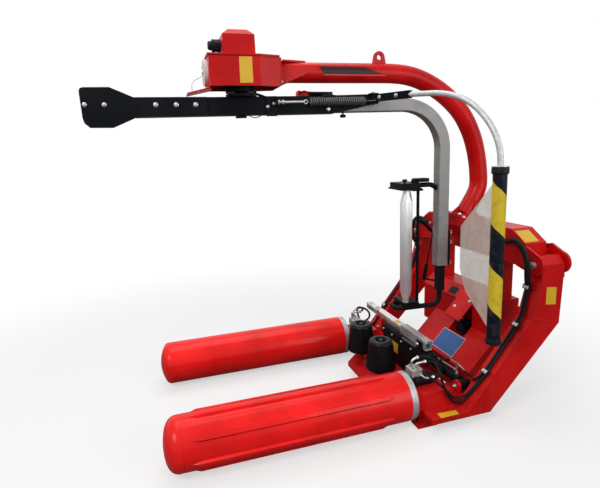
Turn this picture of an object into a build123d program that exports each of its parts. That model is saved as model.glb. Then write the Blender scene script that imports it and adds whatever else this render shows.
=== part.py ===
from build123d import *
import os
from math import atan2, cos, degrees, hypot, radians, sin, tan

# A bale wrapper for a tractor's three-point linkage, in millimetres.
# +X is the near side, +Y is towards the tractor and +Z is up.
# The origin is the floor point on the axis that the film satellite turns about,
# which is where the middle of the bale goes.
# Near and far pieces are mirrored about the plane X = 0.
# Pieces of the satellite are drawn with their reach along +Y, then parked.

# Clearances and plates that several pieces share
RUNNING_CLEARANCE = 0.4
HINGE_CLEARANCE = 0.05
OPEN_PIVOT_CLEARANCE = 1.0
PLATE = 12.0
HEAVY_PLATE = 20.0
PIN_HEAD = 14.0

# Bale drums
DRUM_DIAMETER = 336.0
DRUM_X = 572.0
DRUM_TIP_Y = -629.0
DRUM_BASE_Y = 904.0
DRUM_DOME = 78.0
DRUM_KNUCKLE = 46.0
DRUM_WALL = 8.0
DRUM_SEAM_INSET = 34.0
DRUM_SEAM_WIDTH = 4.0
DRUM_SEAM_DEPTH = 2.0
DRUM_RING_LENGTH = 44.0
DRUM_RING_INSET = 1.0
DRUM_HUB_RADIUS = 45.0
DRUM_HUB_REACH = 90.0
DRUM_RIBS = 6
DRUM_RIB_TURN = 33.8
DRUM_RIB_HEIGHT = 9.0
DRUM_RIB_WIDTH = 30.0
DRUM_RIB_TIP_GAP = 88.0
DRUM_RIB_BASE_GAP = 130.0
DRUM_RIB_TAPER = 70.0

# Satellite beam with its paddle and film arm
SATELLITE_PARK_ANGLE = -3.7
BEAM_HEIGHT = 120.0
BEAM_LOW_Z = 2152.0
BEAM_WALL = 6.0
BEAM_FRONT_REACH = 700.0
BEAM_BACK_REACH = 650.0
COLLAR_REACH = 160.0
COLLAR_LENGTH = 72.0
COLLAR_STUB = 60.0
PADDLE_REACH = 1010.0
PADDLE_HEIGHT = 285.0
PADDLE_THICKNESS = 14.0
PADDLE_NECK = 690.0
PADDLE_SHOULDER = 835.0
PADDLE_DROP = 18.0
PADDLE_ROOT = 235.0
PADDLE_CORNER = 22.0
FILM_TUBE = 90.0
FILM_TUBE_WALL = 5.0
FILM_TUBE_REACH = 1527.0
FILM_TUBE_INSERT = 200.0
FILM_TUBE_BEND = 330.0
FILM_TUBE_END_Z = 952.0
TUBE_SIDE_GAP = 1.0

# Film pre-stretcher
STRETCH_OFFSET = 298.0
STRETCH_RADIUS = 47.0
STRETCH_NECK_RADIUS = 26.0
STRETCH_BODY_LOW_Z = 775.0
STRETCH_BODY_TOP_Z = 1474.0
STRETCH_LOW_Z = 668.0
STRETCH_JOURNAL = 20.0
STRETCH_SPACING = 128.0
STRETCH_INNER_RADIUS = 40.0
STRETCH_INNER_SHIFT = 73.0
LOW_POST = 58.0
LOW_TUBE_Z = 618.0
LOW_TUBE_RADIUS = 20.0
LOW_TUBE_START_Z = 740.0
LOW_LOOP_REACH = 80.0
LOW_LOOP_RETURN = 170.0
TOP_PLATE_Z = 1572.0
TOP_BOX_HEIGHT = 52.0
TOP_TUBE_RADIUS = 19.0
TOP_COVER_REACH = 90.0
TOP_COVER_SIZE = 80.0
GUIDE_ROD_OFFSET = 99.0
GUIDE_ROD_RADIUS = 12.0
REST_ARM_RADIUS = 14.0
REST_ARM_Z = 1200.0
REST_ARM_RISE = 108.0
REST_ARM_REACH = 160.0
REST_ARM_SIDE = 75.0
DAMPER_RADIUS = 15.0
DAMPER_ROD_RADIUS = 6.0
DAMPER_LOW_Z = 800.0
DAMPER_LEAN = 62.0
FLAP_STRIP_DEPTH = 17.0
FLAP_STRIP_WIDTH = 24.0
FLAP_STRIP_TOP_Z = 1235.0

# Safety arm ahead of the film arm
SAFETY_PIVOT_REACH = 930.0
SAFETY_PIVOT_X = 78.0
SAFETY_PIVOT_RADIUS = 14.0
SAFETY_BOSS_RADIUS = 32.0
SAFETY_SHELF_HALF = 50.0
SAFETY_LEVER_LENGTH = 400.0
SAFETY_LEVER_HEIGHT = 46.0
SAFETY_LEVER_THICKNESS = 18.0
SAFETY_LEVER_LIFT = 13.0
SAFETY_CRANK = 42.0
SAFETY_X = 934.0
SAFETY_REACH = 1345.0
SAFETY_BAR_RADIUS = 19.0
SAFETY_BAR_BEND = 300.0
SLEEVE_RADIUS = 40.0
SLEEVE_CAP_RADIUS = 48.0
SLEEVE_CAP_HEIGHT = 34.0
SLEEVE_FLARE = 5.0
SLEEVE_TOP_Z = 1768.0
SLEEVE_LOW_Z = 700.0
FLAP_THICKNESS = 5.0
FLAP_REACH = 560.0
FLAP_TOP_Z = 1725.0
FLAP_LOW_Z = 740.0
FLAP_OUTLINE = ((0, 1.0), (1.0, 0.60), (1.0, 0.29), (0.79, 0.15), (0, 0))
SPRING_RADIUS = 27.0
SPRING_LENGTH = 397.0
SPRING_WIRE = 8.0
SPRING_HOOK_GAP = 76.0
SPRING_ROD_RADIUS = 9.0

# Drive housing over the satellite
HOUSING_FRONT_Y = -222.0
HOUSING_BACK_Y = 250.0
HOUSING_FOLD_Y = 110.0
HOUSING_HALF_WIDTH = 150.0
HOUSING_BACK_HALF_WIDTH = 115.0
HOUSING_GAP = 58.0
HOUSING_HEIGHT = 198.0
HOUSING_WALL = 8.0
LIP_THICKNESS = 10.0
LIP_OVERHANG = 8.0
COVER_FRONT_Y = -128.0
COVER_BACK_Y = 92.0
COVER_HALF_WIDTH = 110.0
COVER_HEIGHT = 162.0
COVER_BEVEL = 38.0
SLEW_MOTOR_LENGTH = 84.0
SLEW_MOTOR_RISE = 82.0
SLEW_MOTOR_X = 40.0
SLEW_MOTOR_RADIUS = 42.0
DISC_RADIUS = 86.0
DISC_THICKNESS = 22.0
SHAFT_RADIUS = 48.0
SHAFT_PLATE_RADIUS = 105.0
SHAFT_PLATE_THICKNESS = 18.0
SHAFT_CLEARANCE = 12.0
DEFLECTOR_REACH = 140.0
DEFLECTOR_HALF_WIDTH = 70.0

# Boom over the bale
BOOM_RADIUS = 70.0
BOOM_WALL = 8.0
BOOM_TOP_Z = 2438.0
BOOM_LEAN_Z = 1640.0
BOOM_LEAN = 141.0
BOOM_SHOULDER = 95.0
BOOM_BENDS = (220.0, 420.0, 300.0)
BOOM_FLANGE_HALF = 96.0
BOOM_FLANGE_THICKNESS = 22.0
BOOM_FOOT_RIB = 120.0
BOOM_GUSSET_TOP = 200.0
BOOM_GUSSET_SIDE = 286.0
EYE_Y = 1065.0
EYE_RADIUS = 44.0
EYE_HOLE_RADIUS = 20.0
EYE_RISE = 62.0

# Girder and pedestal, set clear of the film arm's sweep
SWEEP_CLEARANCE = 133.0
PEDESTAL_OVERHANG = 120.0
PEDESTAL_HALF_WIDTH = 150.0
PEDESTAL_LOW_Z = 1120.0
PEDESTAL_RISE = 37.0
BOOM_SETBACK = 90.0
GIRDER_TOP_Z = 1285.0
GIRDER_BOTTOM_Z = 1035.0
GIRDER_DEPTH = 185.0
GIRDER_FLAT_X = 530.0
GIRDER_SLANT_X = 668.0
GIRDER_SLANT_Z = 1196.0

# Roller arms, which hang from hinges along Y at the ends of the girder
HINGE_X = 756.0
HINGE_Z = 1066.0
HINGE_BORE_RADIUS = 22.0
LUG_RADIUS = 76.0
LUG_GAP = 8.0
ARM_SETBACK = 28.0
ARM_DEPTH = 190.0
ARM_INNER_X = 676.0
ARM_OUTER_X = 806.0
ARM_TOP_Z = 1120.0
ARM_CAP_CHAMFER = 50.0
ARM_SHOULDER_Z = 965.0
KNEE_FRONT_SHIFT = 73.0
KNEE_FRONT_Z = 695.0
KNEE_BACK_SHIFT = 21.0
KNEE_BACK_Z = 640.0
ARM_FOOT_BACK_Y = 1469.0
ARM_FOOT_FRONT_Y = 1298.0
ARM_LOW_Z = 68.0
SHELF_THICKNESS = 36.0
SHELF_FRONT_Y = 1010.0
CARRIER_INNER_X = 470.0
CARRIER_TOP_Z = 218.0
CARRIER_STEP = 40.0
CARRIER_BACK_Y = 1245.0
CARRIER_SLOPE = 60.0
CARRIER_EAR_Z = 140.0
CARRIER_END_Y = 1475.0
CARRIER_GAP = 6.0
FOOT_X = 660.0
FOOT_HALF_WIDTH = 62.0
FOOT_LENGTH = 146.0
FOOT_THICKNESS = 10.0
FOOT_GAP = 6.0
MOTOR_RADIUS = 50.0
MOTOR_LENGTH = 180.0
MOTOR_INSET = 66.0
VALVE_HEIGHT = 70.0
VALVE_LENGTH = 100.0

# Hoses clipped along the roller arms
HOSE_RADIUS = 8.0
HOSE_PITCH = 22.0
BUNDLE_RADIUS = 15.0
BUNDLE_GAP = 4.0
GIRDER_CLAMP_X = 480.0
GIRDER_CLAMP_Z = 1192.0
CLAMP_HEIGHTS = (895.0, 632.0, 328.0)
CLAMP_SHIFTS = (0.0, 22.0, 28.0)
CLAMP_WIDTH = 64.0
CLAMP_LENGTH = 30.0
CLAMP_HEIGHT = 28.0

# Lateral cylinder between the two roller arms
CYLINDER_PIN_X = 600.0
CYLINDER_Y = 1405.0
CYLINDER_Z = 185.0
CYLINDER_RADIUS = 36.0
CYLINDER_ROD_RADIUS = 18.0
CYLINDER_EYE_RADIUS = 34.0
CYLINDER_EYE_WIDTH = 70.0
CYLINDER_BORE_RADIUS = 14.0
CYLINDER_NECK_RADIUS = 24.0
CYLINDER_HEAD_GAP = 80.0
EAR_THICKNESS = 24.0
EAR_GAP = 14.0
EAR_RADIUS = 40.0

# Posts, back beam, ramp and tongue
POST_X = 362.0
POST_WIDTH = 90.0
POST_SETBACK = 25.0
POST_DEPTH = 120.0
BASE_HALF_WIDTH = 450.0
BASE_ADVANCE = 88.0
BASE_DEPTH = 263.0
BASE_TOP_Z = 710.0
BASE_CHAMFER = 85.0
BASE_LOW_Z = 290.0
RAMP_FAR_X = -250.0
RAMP_NEAR_X = 520.0
RAMP_TOP_Z = 438.0
RAMP_FOOT_Z = 205.0
RAMP_PLATE = 10.0
COVER_FAR_X = 45.0
COVER_NEAR_X = 243.0
COVER_DROP = 125.0
COVER_PLATE = 6.0
COVER_LAP = 55.0
VALVE_BAY_DEPTH = 120.0
VALVE_BAY_REACH = 85.0
SILL_DEPTH = 96.0
SILL_LOW_Z = 58.0
TONGUE_HALF_WIDTH = 285.0
TONGUE_FRONT_Y = 822.0
TONGUE_LOW_Z = 70.0
TONGUE_TOP_Z = 105.0
TONGUE_CHAMFER = 110.0
STAND_SIZE = 80.0
STAND_PAD = 150.0
STAND_PAD_THICKNESS = 14.0

# Hitch for the tractor, category 2
LINK_SPACING = 825.0
LINK_BORE_RADIUS = 14.25
LINK_Z = 560.0
LINK_EAR_RADIUS = 45.0
LINK_EAR_THICKNESS = 14.0
LINK_EAR_GAP = 62.0
LINK_OVERHANG = 110.0
TOP_LINK_RISE = 620.0
TOP_LINK_OVERHANG = 85.0
TOP_LINK_BORE_RADIUS = 13.0
TOP_EAR_RADIUS = 38.0
TOP_EAR_GAP = 56.0

# Cones that stop the bale, and the film cutter
CONE_X = 180.0
CONE_Y = 950.0
CONE_LOW_Z = 195.0
CONE_HEIGHT = 239.0
CONE_LOW_RADIUS = 120.0
CONE_TOP_RADIUS = 90.0
CONE_HEEL = 16.0
CONE_SHOULDER = 26.0
CONE_STUB_RADIUS = 22.0
CONE_STUB_DEPTH = 60.0
CONE_STUB_GAP = 10.0
CONE_DISH_RADIUS = 52.0
CONE_DISH_DEPTH = 8.0
CUTTER_NEAR_X = 420.0
CUTTER_FAR_X = -570.0
CUTTER_Y = 1222.0
CUTTER_Z = 434.0
CUTTER_WIDTH = 58.0
CUTTER_HEIGHT = 46.0
CUTTER_BOX_HEIGHT = 74.0
CUTTER_BOX_FAR_X = 60.0
CUTTER_BOX_LAP = 50.0
CUTTER_WALL = 4.0
CUTTER_PIVOT_RADIUS = 12.0
CUTTER_PIVOT_INSET = 62.0
CUTTER_BUSH_RADIUS = 17.0
CUTTER_CHEEK_GAP = 6.0
CUTTER_CHEEK_HALF = 32.0
CUTTER_BODY_DROP = 60.0
CUTTER_BODY_HEIGHT = 120.0
CUTTER_BODY_FAR_X = -250.0
CUTTER_BODY_NEAR_X = 465.0
CUTTER_FOOT_HALF = 200.0

# Values worked out from the ones above
DRUM_RADIUS = DRUM_DIAMETER / 2
DRUM_Z = DRUM_RADIUS + DRUM_RIB_HEIGHT
DRUM_BACK_Y = DRUM_BASE_Y + DRUM_RING_LENGTH
CARRIER_FRONT_Y = DRUM_BACK_Y + CARRIER_GAP
FOOT_FRONT_Y = DRUM_BACK_Y + FOOT_GAP
ARM_SHELF_Z = ARM_LOW_Z + SHELF_THICKNESS
HOSE_X = ARM_INNER_X + CLAMP_WIDTH / 2 + HOSE_RADIUS
HINGE_PIN_RADIUS = HINGE_BORE_RADIUS - HINGE_CLEARANCE
CYLINDER_PIN_RADIUS = CYLINDER_BORE_RADIUS - HINGE_CLEARANCE
BEAM_TOP_Z = BEAM_LOW_Z + BEAM_HEIGHT
BEAM_MID_Z = BEAM_LOW_Z + BEAM_HEIGHT / 2
BEAM_HALF = FILM_TUBE / 2 + TUBE_SIDE_GAP + BEAM_WALL
FILM_TUBE_LOW_Z = BEAM_LOW_Z + BEAM_WALL
FILM_TUBE_Z = FILM_TUBE_LOW_Z + FILM_TUBE / 2
FILM_TUBE_TOP_Z = FILM_TUBE_LOW_Z + FILM_TUBE
STRETCH_REACH = FILM_TUBE_REACH - STRETCH_OFFSET
STRETCH_TOP_Z = TOP_PLATE_Z - RUNNING_CLEARANCE
GUIDE_ROD_REACH = STRETCH_REACH + GUIDE_ROD_OFFSET
SAFETY_LEVER_LOW_Z = FILM_TUBE_TOP_Z + PLATE + SAFETY_LEVER_LIFT
SAFETY_LEVER_TOP_Z = SAFETY_LEVER_LOW_Z + SAFETY_LEVER_HEIGHT
SAFETY_LEVER_Z = SAFETY_LEVER_LOW_Z + SAFETY_LEVER_HEIGHT / 2
SPRING_X = BEAM_HALF + PLATE + SPRING_RADIUS + 4
SPRING_Z = FILM_TUBE_Z + 25
HOUSING_LOW_Z = BEAM_TOP_Z + HOUSING_GAP
HOUSING_TOP_Z = HOUSING_LOW_Z + HOUSING_HEIGHT
COVER_TOP_Z = HOUSING_TOP_Z + COVER_HEIGHT
PEDESTAL_FRONT_Y = FILM_TUBE_REACH + FILM_TUBE / 2 + SWEEP_CLEARANCE
PEDESTAL_TOP_Z = GIRDER_TOP_Z + PEDESTAL_RISE
GIRDER_FRONT_Y = PEDESTAL_FRONT_Y + PEDESTAL_OVERHANG
GIRDER_BACK_Y = GIRDER_FRONT_Y + GIRDER_DEPTH
BOOM_BASE_Y = PEDESTAL_FRONT_Y + BOOM_SETBACK
BOOM_LEAN_Y = BOOM_BASE_Y + BOOM_LEAN
BOOM_SHOULDER_Y = BOOM_BASE_Y - BOOM_SHOULDER
ARM_FRONT_Y = GIRDER_FRONT_Y + ARM_SETBACK
ARM_BACK_Y = ARM_FRONT_Y + ARM_DEPTH
KNEE_FRONT_Y = ARM_FRONT_Y - KNEE_FRONT_SHIFT
KNEE_BACK_Y = ARM_BACK_Y - KNEE_BACK_SHIFT
FRONT_LUG_Y = ARM_FRONT_Y - LUG_GAP - HEAVY_PLATE
BACK_LUG_Y = ARM_BACK_Y + LUG_GAP
POST_FRONT_Y = GIRDER_FRONT_Y + POST_SETBACK
BASE_FRONT_Y = GIRDER_FRONT_Y - BASE_ADVANCE
BASE_BACK_Y = BASE_FRONT_Y + BASE_DEPTH
BASE_EDGE_Z = BASE_TOP_Z - BASE_CHAMFER
RAMP_FOOT_Y = BASE_FRONT_Y - (RAMP_TOP_Z - RAMP_FOOT_Z)
RAMP_DROP = RAMP_PLATE * hypot(1, 1)
STAND_Y = BASE_BACK_Y - STAND_SIZE
LINK_Y = BASE_BACK_Y + LINK_OVERHANG
TOP_LINK_Y = GIRDER_BACK_Y + TOP_LINK_OVERHANG
TOP_LINK_Z = LINK_Z + TOP_LINK_RISE

NODES = {}


def node(name, *shapes):
    """Keep the solids of one sub-part under its name."""
    solids = [solid for shape in shapes for solid in shape.solids()]
    NODES[name] = solids[0] if len(solids) == 1 else Compound(children=solids)


def block(x0, x1, y0, y1, z0, z1):
    """A box between two corners."""
    return Pos((x0 + x1) / 2, (y0 + y1) / 2, (z0 + z1) / 2) * Box(abs(x1 - x0), abs(y1 - y0), abs(z1 - z0))


def rod(start, end, radius):
    """A round bar between two points."""
    start, end = Vector(*start), Vector(*end)
    place = Plane(origin=start, z_dir=end - start)
    return extrude(place * Circle(radius), (end - start).length)


def plate_xz(points, y0, y1):
    """A polygon in X and Z, extruded from y0 to y1."""
    face = make_face(Polyline(*[(x, y0, z) for x, z in points], close=True))
    return extrude(face, y1 - y0, dir=(0, 1, 0))


def plate_yz(points, x0, x1):
    """A polygon in Y and Z, extruded from x0 to x1."""
    face = make_face(Polyline(*[(x0, y, z) for y, z in points], close=True))
    return extrude(face, x1 - x0, dir=(1, 0, 0))


def plate_xy(points, z0, z1):
    """A polygon in X and Y, extruded from z0 to z1."""
    face = make_face(Polyline(*[(x, y, z0) for x, y in points], close=True))
    return extrude(face, z1 - z0, dir=(0, 0, 1))


def bend(points, radii, section_radius, wall=0.0):
    """A round bar or tube along straight runs joined by arcs."""
    path = FilletPolyline(*points, radius=list(radii))
    start = Plane(origin=path @ 0, z_dir=path % 0)
    solid = sweep(start * Circle(section_radius), path=path)
    if wall:
        solid -= sweep(start * Circle(section_radius - wall), path=path)
    return solid


def hose(points, radius):
    """A hose along a route, each bend as wide as its two runs allow."""
    route = [Vector(*point) for point in points]
    radii = []
    for before, corner, after in zip(route, route[1:], route[2:]):
        half_turn = radians((corner - before).get_angle(after - corner)) / 2
        shorter = min((corner - before).length, (after - corner).length)
        radii.append(0.45 * shorter / tan(half_turn))
    return bend(points, radii, radius)


def box_bend(points, radii, size, wall):
    """A square tube along straight runs joined by arcs."""
    path = FilletPolyline(*points, radius=radii)
    start = Plane(origin=path @ 0, z_dir=path % 0, x_dir=(1, 0, 0))
    outer = sweep(start * RectangleRounded(size, size, wall * 1.5), path=path)
    inner = sweep(start * Rectangle(size - 2 * wall, size - 2 * wall), path=path)
    return outer - inner


def arc_about(centre, start, end):
    """The short arc between two points of a circle about a centre."""
    middle, first, last = Vector(*centre), Vector(*start), Vector(*end)
    outward = ((first - middle) + (last - middle)).normalized() * (first - middle).length
    return ThreePointArc(start, (middle.X + outward.X, middle.Y + outward.Y), end)


def both(shape):
    """A near shape and its mirror image on the far side."""
    return {"near": shape, "far": mirror(shape, about=Plane.YZ)}


def parked(shape):
    """Turn a piece of the satellite to the angle at which it is parked."""
    return Rot(0, 0, SATELLITE_PARK_ANGLE) * shape


def drum_shell():
    """A hollow drum about the Y axis, with a dished end and two seams."""
    flank = DRUM_RADIUS - DRUM_KNUCKLE
    crown = (flank ** 2 + DRUM_DOME ** 2 - DRUM_KNUCKLE ** 2) / (2 * (DRUM_DOME - DRUM_KNUCKLE))
    apex = (0, DRUM_TIP_Y - DRUM_DOME)
    crown_centre = (0, apex[1] + crown)
    knuckle_centre = (flank, DRUM_TIP_Y)
    slant = (Vector(*knuckle_centre) - Vector(*crown_centre)).normalized() * crown
    tangent = (slant.X, crown_centre[1] + slant.Y)
    wall_start = (DRUM_RADIUS, DRUM_TIP_Y)
    groove = DRUM_RADIUS - DRUM_SEAM_DEPTH
    outline = [wall_start]
    for seam_y in (DRUM_TIP_Y + DRUM_SEAM_INSET, DRUM_BASE_Y - DRUM_SEAM_INSET):
        low, high = seam_y - DRUM_SEAM_WIDTH / 2, seam_y + DRUM_SEAM_WIDTH / 2
        outline += [(DRUM_RADIUS, low), (groove, low), (groove, high), (DRUM_RADIUS, high)]
    bore = DRUM_RADIUS - DRUM_WALL
    outline += [(DRUM_RADIUS, DRUM_BASE_Y), (bore, DRUM_BASE_Y), (bore, DRUM_TIP_Y), (0, DRUM_TIP_Y), apex]
    with BuildSketch(Plane.XY) as half:
        with BuildLine():
            arc_about(crown_centre, apex, tangent)
            arc_about(knuckle_centre, tangent, wall_start)
            Polyline(*outline)
        make_face()
    return revolve(half.sketch, axis=Axis.Y)


def drum_rib():
    """A raised rib along a drum, pointed and faired at both ends, above the Y axis."""
    start = DRUM_TIP_Y + DRUM_RIB_TIP_GAP
    end = DRUM_BASE_Y - DRUM_RIB_BASE_GAP
    root, crest = DRUM_RADIUS - DRUM_WALL / 2, DRUM_RADIUS + DRUM_RIB_HEIGHT
    half = DRUM_RIB_WIDTH / 2
    plan = [(0, start), (half, start + DRUM_RIB_TAPER), (half, end - DRUM_RIB_TAPER), (0, end),
            (-half, end - DRUM_RIB_TAPER), (-half, start + DRUM_RIB_TAPER)]
    side = [(start, root), (start, DRUM_RADIUS), (start + DRUM_RIB_TAPER, crest), (end - DRUM_RIB_TAPER, crest),
            (end, DRUM_RADIUS), (end, root)]
    return plate_xy(plan, root, crest) & plate_yz(side, -half, half)


def make_drums():
    """The two turning drums that carry the bale, the near one ribbed."""
    plain = drum_shell()
    ribbed = drum_shell()
    for index in range(DRUM_RIBS):
        ribbed += Rot(0, 90 - DRUM_RIB_TURN - 360.0 * index / DRUM_RIBS, 0) * drum_rib()
    ring = rod((0, DRUM_BASE_Y, 0), (0, DRUM_BACK_Y, 0), DRUM_RADIUS - DRUM_RING_INSET)
    ring -= rod((0, DRUM_BASE_Y, 0), (0, DRUM_BACK_Y, 0), DRUM_HUB_RADIUS + RUNNING_CLEARANCE)
    for side, x, shell in (("near", DRUM_X, ribbed), ("far", -DRUM_X, plain)):
        node("drum_" + side + "_shell", Pos(x, 0, DRUM_Z) * shell)
        node("drum_" + side + "_ring", Pos(x, 0, DRUM_Z) * ring)


def arm_front_y(z):
    """Where the front face of a roller arm stands at a height."""
    if z > KNEE_FRONT_Z:
        share = (ARM_SHOULDER_Z - z) / (ARM_SHOULDER_Z - KNEE_FRONT_Z)
        return ARM_FRONT_Y - KNEE_FRONT_SHIFT * share
    share = (KNEE_FRONT_Z - z) / (KNEE_FRONT_Z - ARM_SHELF_Z)
    return KNEE_FRONT_Y - (KNEE_FRONT_Y - ARM_FOOT_FRONT_Y) * share


def arm_face_angle(z):
    """How far the front face of a roller arm leans from upright at a height, in degrees."""
    if z > KNEE_FRONT_Z:
        return degrees(atan2(KNEE_FRONT_SHIFT, ARM_SHOULDER_Z - KNEE_FRONT_Z))
    return degrees(atan2(KNEE_FRONT_Y - ARM_FOOT_FRONT_Y, KNEE_FRONT_Z - ARM_SHELF_Z))


def hose_clamps():
    """The three clamps that hold the hoses on the front face of a roller arm."""
    clamps = []
    for height, shift in zip(CLAMP_HEIGHTS, CLAMP_SHIFTS):
        clamp = Box(CLAMP_WIDTH, CLAMP_HEIGHT, CLAMP_LENGTH, align=(Align.CENTER, Align.MAX, Align.CENTER))
        lean = -arm_face_angle(height)
        clamps.append(Pos(HOSE_X + shift, arm_front_y(height), height) * Rot(lean, 0, 0) * clamp)
    return clamps


def make_roller_arms():
    """The two hinged arms, each with the box that carries its drum."""
    profile = [(ARM_FRONT_Y, ARM_SHOULDER_Z), (ARM_FRONT_Y, ARM_TOP_Z), (ARM_BACK_Y, ARM_TOP_Z),
               (KNEE_BACK_Y, KNEE_BACK_Z), (ARM_FOOT_BACK_Y, ARM_LOW_Z), (SHELF_FRONT_Y, ARM_LOW_Z),
               (SHELF_FRONT_Y, ARM_SHELF_Z), (ARM_FOOT_FRONT_Y, ARM_SHELF_Z), (KNEE_FRONT_Y, KNEE_FRONT_Z)]
    beam = plate_yz(profile, ARM_INNER_X, ARM_OUTER_X)
    for edge_x, inward in ((ARM_OUTER_X, -1), (ARM_INNER_X, 1)):
        corner = [(edge_x + inward * ARM_CAP_CHAMFER, ARM_TOP_Z), (edge_x, ARM_TOP_Z),
                  (edge_x, ARM_TOP_Z - ARM_CAP_CHAMFER)]
        beam -= plate_xz(corner, ARM_FRONT_Y, ARM_BACK_Y)
    beam -= rod((HINGE_X, ARM_FRONT_Y, HINGE_Z), (HINGE_X, ARM_BACK_Y, HINGE_Z), HINGE_PIN_RADIUS)
    side_points = [(CARRIER_FRONT_Y, ARM_LOW_Z), (CARRIER_FRONT_Y, CARRIER_TOP_Z + CARRIER_STEP),
                   (CARRIER_FRONT_Y + CARRIER_SLOPE, CARRIER_TOP_Z), (CARRIER_BACK_Y, CARRIER_TOP_Z),
                   (CARRIER_BACK_Y + CARRIER_SLOPE, CARRIER_EAR_Z), (CARRIER_END_Y, CARRIER_EAR_Z),
                   (CARRIER_END_Y, ARM_LOW_Z)]
    carrier = plate_yz(side_points, CARRIER_INNER_X, ARM_INNER_X)
    foot_back = FOOT_FRONT_Y + FOOT_LENGTH
    foot_inner, foot_outer = FOOT_X - FOOT_HALF_WIDTH, FOOT_X + FOOT_HALF_WIDTH
    foot = plate_xy([(foot_inner, foot_back), (foot_inner, FOOT_FRONT_Y + CARRIER_STEP),
                     (foot_inner + FOOT_HALF_WIDTH / 2, FOOT_FRONT_Y), (foot_outer, FOOT_FRONT_Y),
                     (foot_outer, foot_back)], 0, FOOT_THICKNESS)
    web = block(FOOT_X - PLATE / 2, FOOT_X + PLATE / 2, FOOT_FRONT_Y + CARRIER_STEP, foot_back, 0, ARM_LOW_Z)
    hub = rod((DRUM_X, DRUM_BASE_Y - DRUM_HUB_REACH, DRUM_Z), (DRUM_X, CARRIER_FRONT_Y, DRUM_Z), DRUM_HUB_RADIUS)
    hinge_pin = rod((HINGE_X, FRONT_LUG_Y - PIN_HEAD, HINGE_Z),
                    (HINGE_X, BACK_LUG_Y + HEAVY_PLATE + PIN_HEAD, HINGE_Z), HINGE_PIN_RADIUS)
    ear_inner = CYLINDER_EYE_WIDTH / 2 + EAR_GAP
    ear_outer = ear_inner + EAR_THICKNESS
    ears = []
    for low, high in ((-ear_outer, -ear_inner), (ear_inner, ear_outer)):
        y0, y1 = CYLINDER_Y + low, CYLINDER_Y + high
        ear = rod((CYLINDER_PIN_X, y0, CYLINDER_Z), (CYLINDER_PIN_X, y1, CYLINDER_Z), EAR_RADIUS)
        ear += block(CYLINDER_PIN_X - EAR_RADIUS, CYLINDER_PIN_X + EAR_RADIUS, y0, y1, CARRIER_EAR_Z, CYLINDER_Z)
        ear -= rod((CYLINDER_PIN_X, y0, CYLINDER_Z), (CYLINDER_PIN_X, y1, CYLINDER_Z), CYLINDER_PIN_RADIUS)
        ears.append(ear)
    eye_pin = rod((CYLINDER_PIN_X, CYLINDER_Y - ear_outer - PIN_HEAD, CYLINDER_Z),
                  (CYLINDER_PIN_X, CYLINDER_Y + ear_outer + PIN_HEAD, CYLINDER_Z), CYLINDER_PIN_RADIUS)
    motor_x = CARRIER_INNER_X + MOTOR_RADIUS + PIN_HEAD
    motor_y = CARRIER_FRONT_Y + MOTOR_INSET
    motor_z = CARRIER_TOP_Z + MOTOR_RADIUS
    motor = rod((motor_x, motor_y, motor_z), (motor_x, motor_y + MOTOR_LENGTH, motor_z), MOTOR_RADIUS)
    valve = block(motor_x - MOTOR_RADIUS, motor_x + MOTOR_RADIUS, motor_y, motor_y + VALVE_LENGTH,
                  motor_z + MOTOR_RADIUS * 0.7, motor_z + MOTOR_RADIUS * 0.7 + VALVE_HEIGHT)
    for clamp in hose_clamps():
        beam += clamp
    parts = {
        "beam": [beam],
        "carrier": [carrier + foot + web + ears[0] + ears[1] + hub],
        "pins": [hinge_pin, eye_pin],
        "drum_motor": [motor + valve],
    }
    for part_name, shapes in parts.items():
        for side in ("near", "far"):
            node("arm_" + side + "_" + part_name, *[both(shape)[side] for shape in shapes])


def make_hoses():
    """The hoses along each arm and the bundle that crosses the hinge."""
    middle_x = HOSE_X
    clamps = hose_clamps()
    stand_off = CLAMP_HEIGHT / 2
    route = []
    for height, shift in ((877, 2), (790, 8), (714, 14), (632, 22), (482, 26), (328, 28)):
        angle = radians(arm_face_angle(height))
        route.append((middle_x + shift, arm_front_y(height) - stand_off * cos(angle), height + stand_off * sin(angle)))
    valve_x = CARRIER_INNER_X + 2 * MOTOR_RADIUS + PIN_HEAD
    valve_y = CARRIER_FRONT_Y + MOTOR_INSET + VALVE_LENGTH / 2
    loop = [(middle_x + 16, 1404, 250), (middle_x, 1330, 170), (middle_x - 14, 1245, 158),
            (middle_x - 17, 1165, 254), (valve_x + 70, valve_y, 338), (valve_x, valve_y, 338)]
    tubes = []
    for side_step in (-HOSE_PITCH / 2, HOSE_PITCH / 2):
        shifted = [(x + side_step, y, z) for x, y, z in route]
        if side_step < 0:
            shifted += loop
        tubes.append(hose(shifted, HOSE_RADIUS) - clamps[1] - clamps[2])
    bundle_y = FRONT_LUG_Y - PIN_HEAD - BUNDLE_RADIUS - 2 * BUNDLE_GAP
    clamp_top = CLAMP_HEIGHTS[0] + CLAMP_LENGTH / 2 + 2 * BUNDLE_GAP
    start_y = GIRDER_FRONT_Y - BUNDLE_RADIUS - BUNDLE_GAP
    end_y = arm_front_y(clamp_top) - BUNDLE_RADIUS - BUNDLE_GAP
    bundle = hose([(GIRDER_CLAMP_X, start_y, GIRDER_CLAMP_Z), (GIRDER_CLAMP_X + 60, start_y, GIRDER_CLAMP_Z),
                   (HINGE_X - 134, bundle_y - 6, 1226), (HINGE_X - 56, bundle_y - 8, 1178),
                   (HINGE_X - 8, bundle_y - 4, 1090), (HINGE_X - 10, bundle_y, 1010),
                   (middle_x, end_y, clamp_top + 40), (middle_x, end_y, clamp_top)], BUNDLE_RADIUS)
    for side in ("near", "far"):
        node("arm_" + side + "_hoses", *[both(shape)[side] for shape in tubes])
        node("hinge_hose_" + side, both(bundle)[side])


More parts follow.
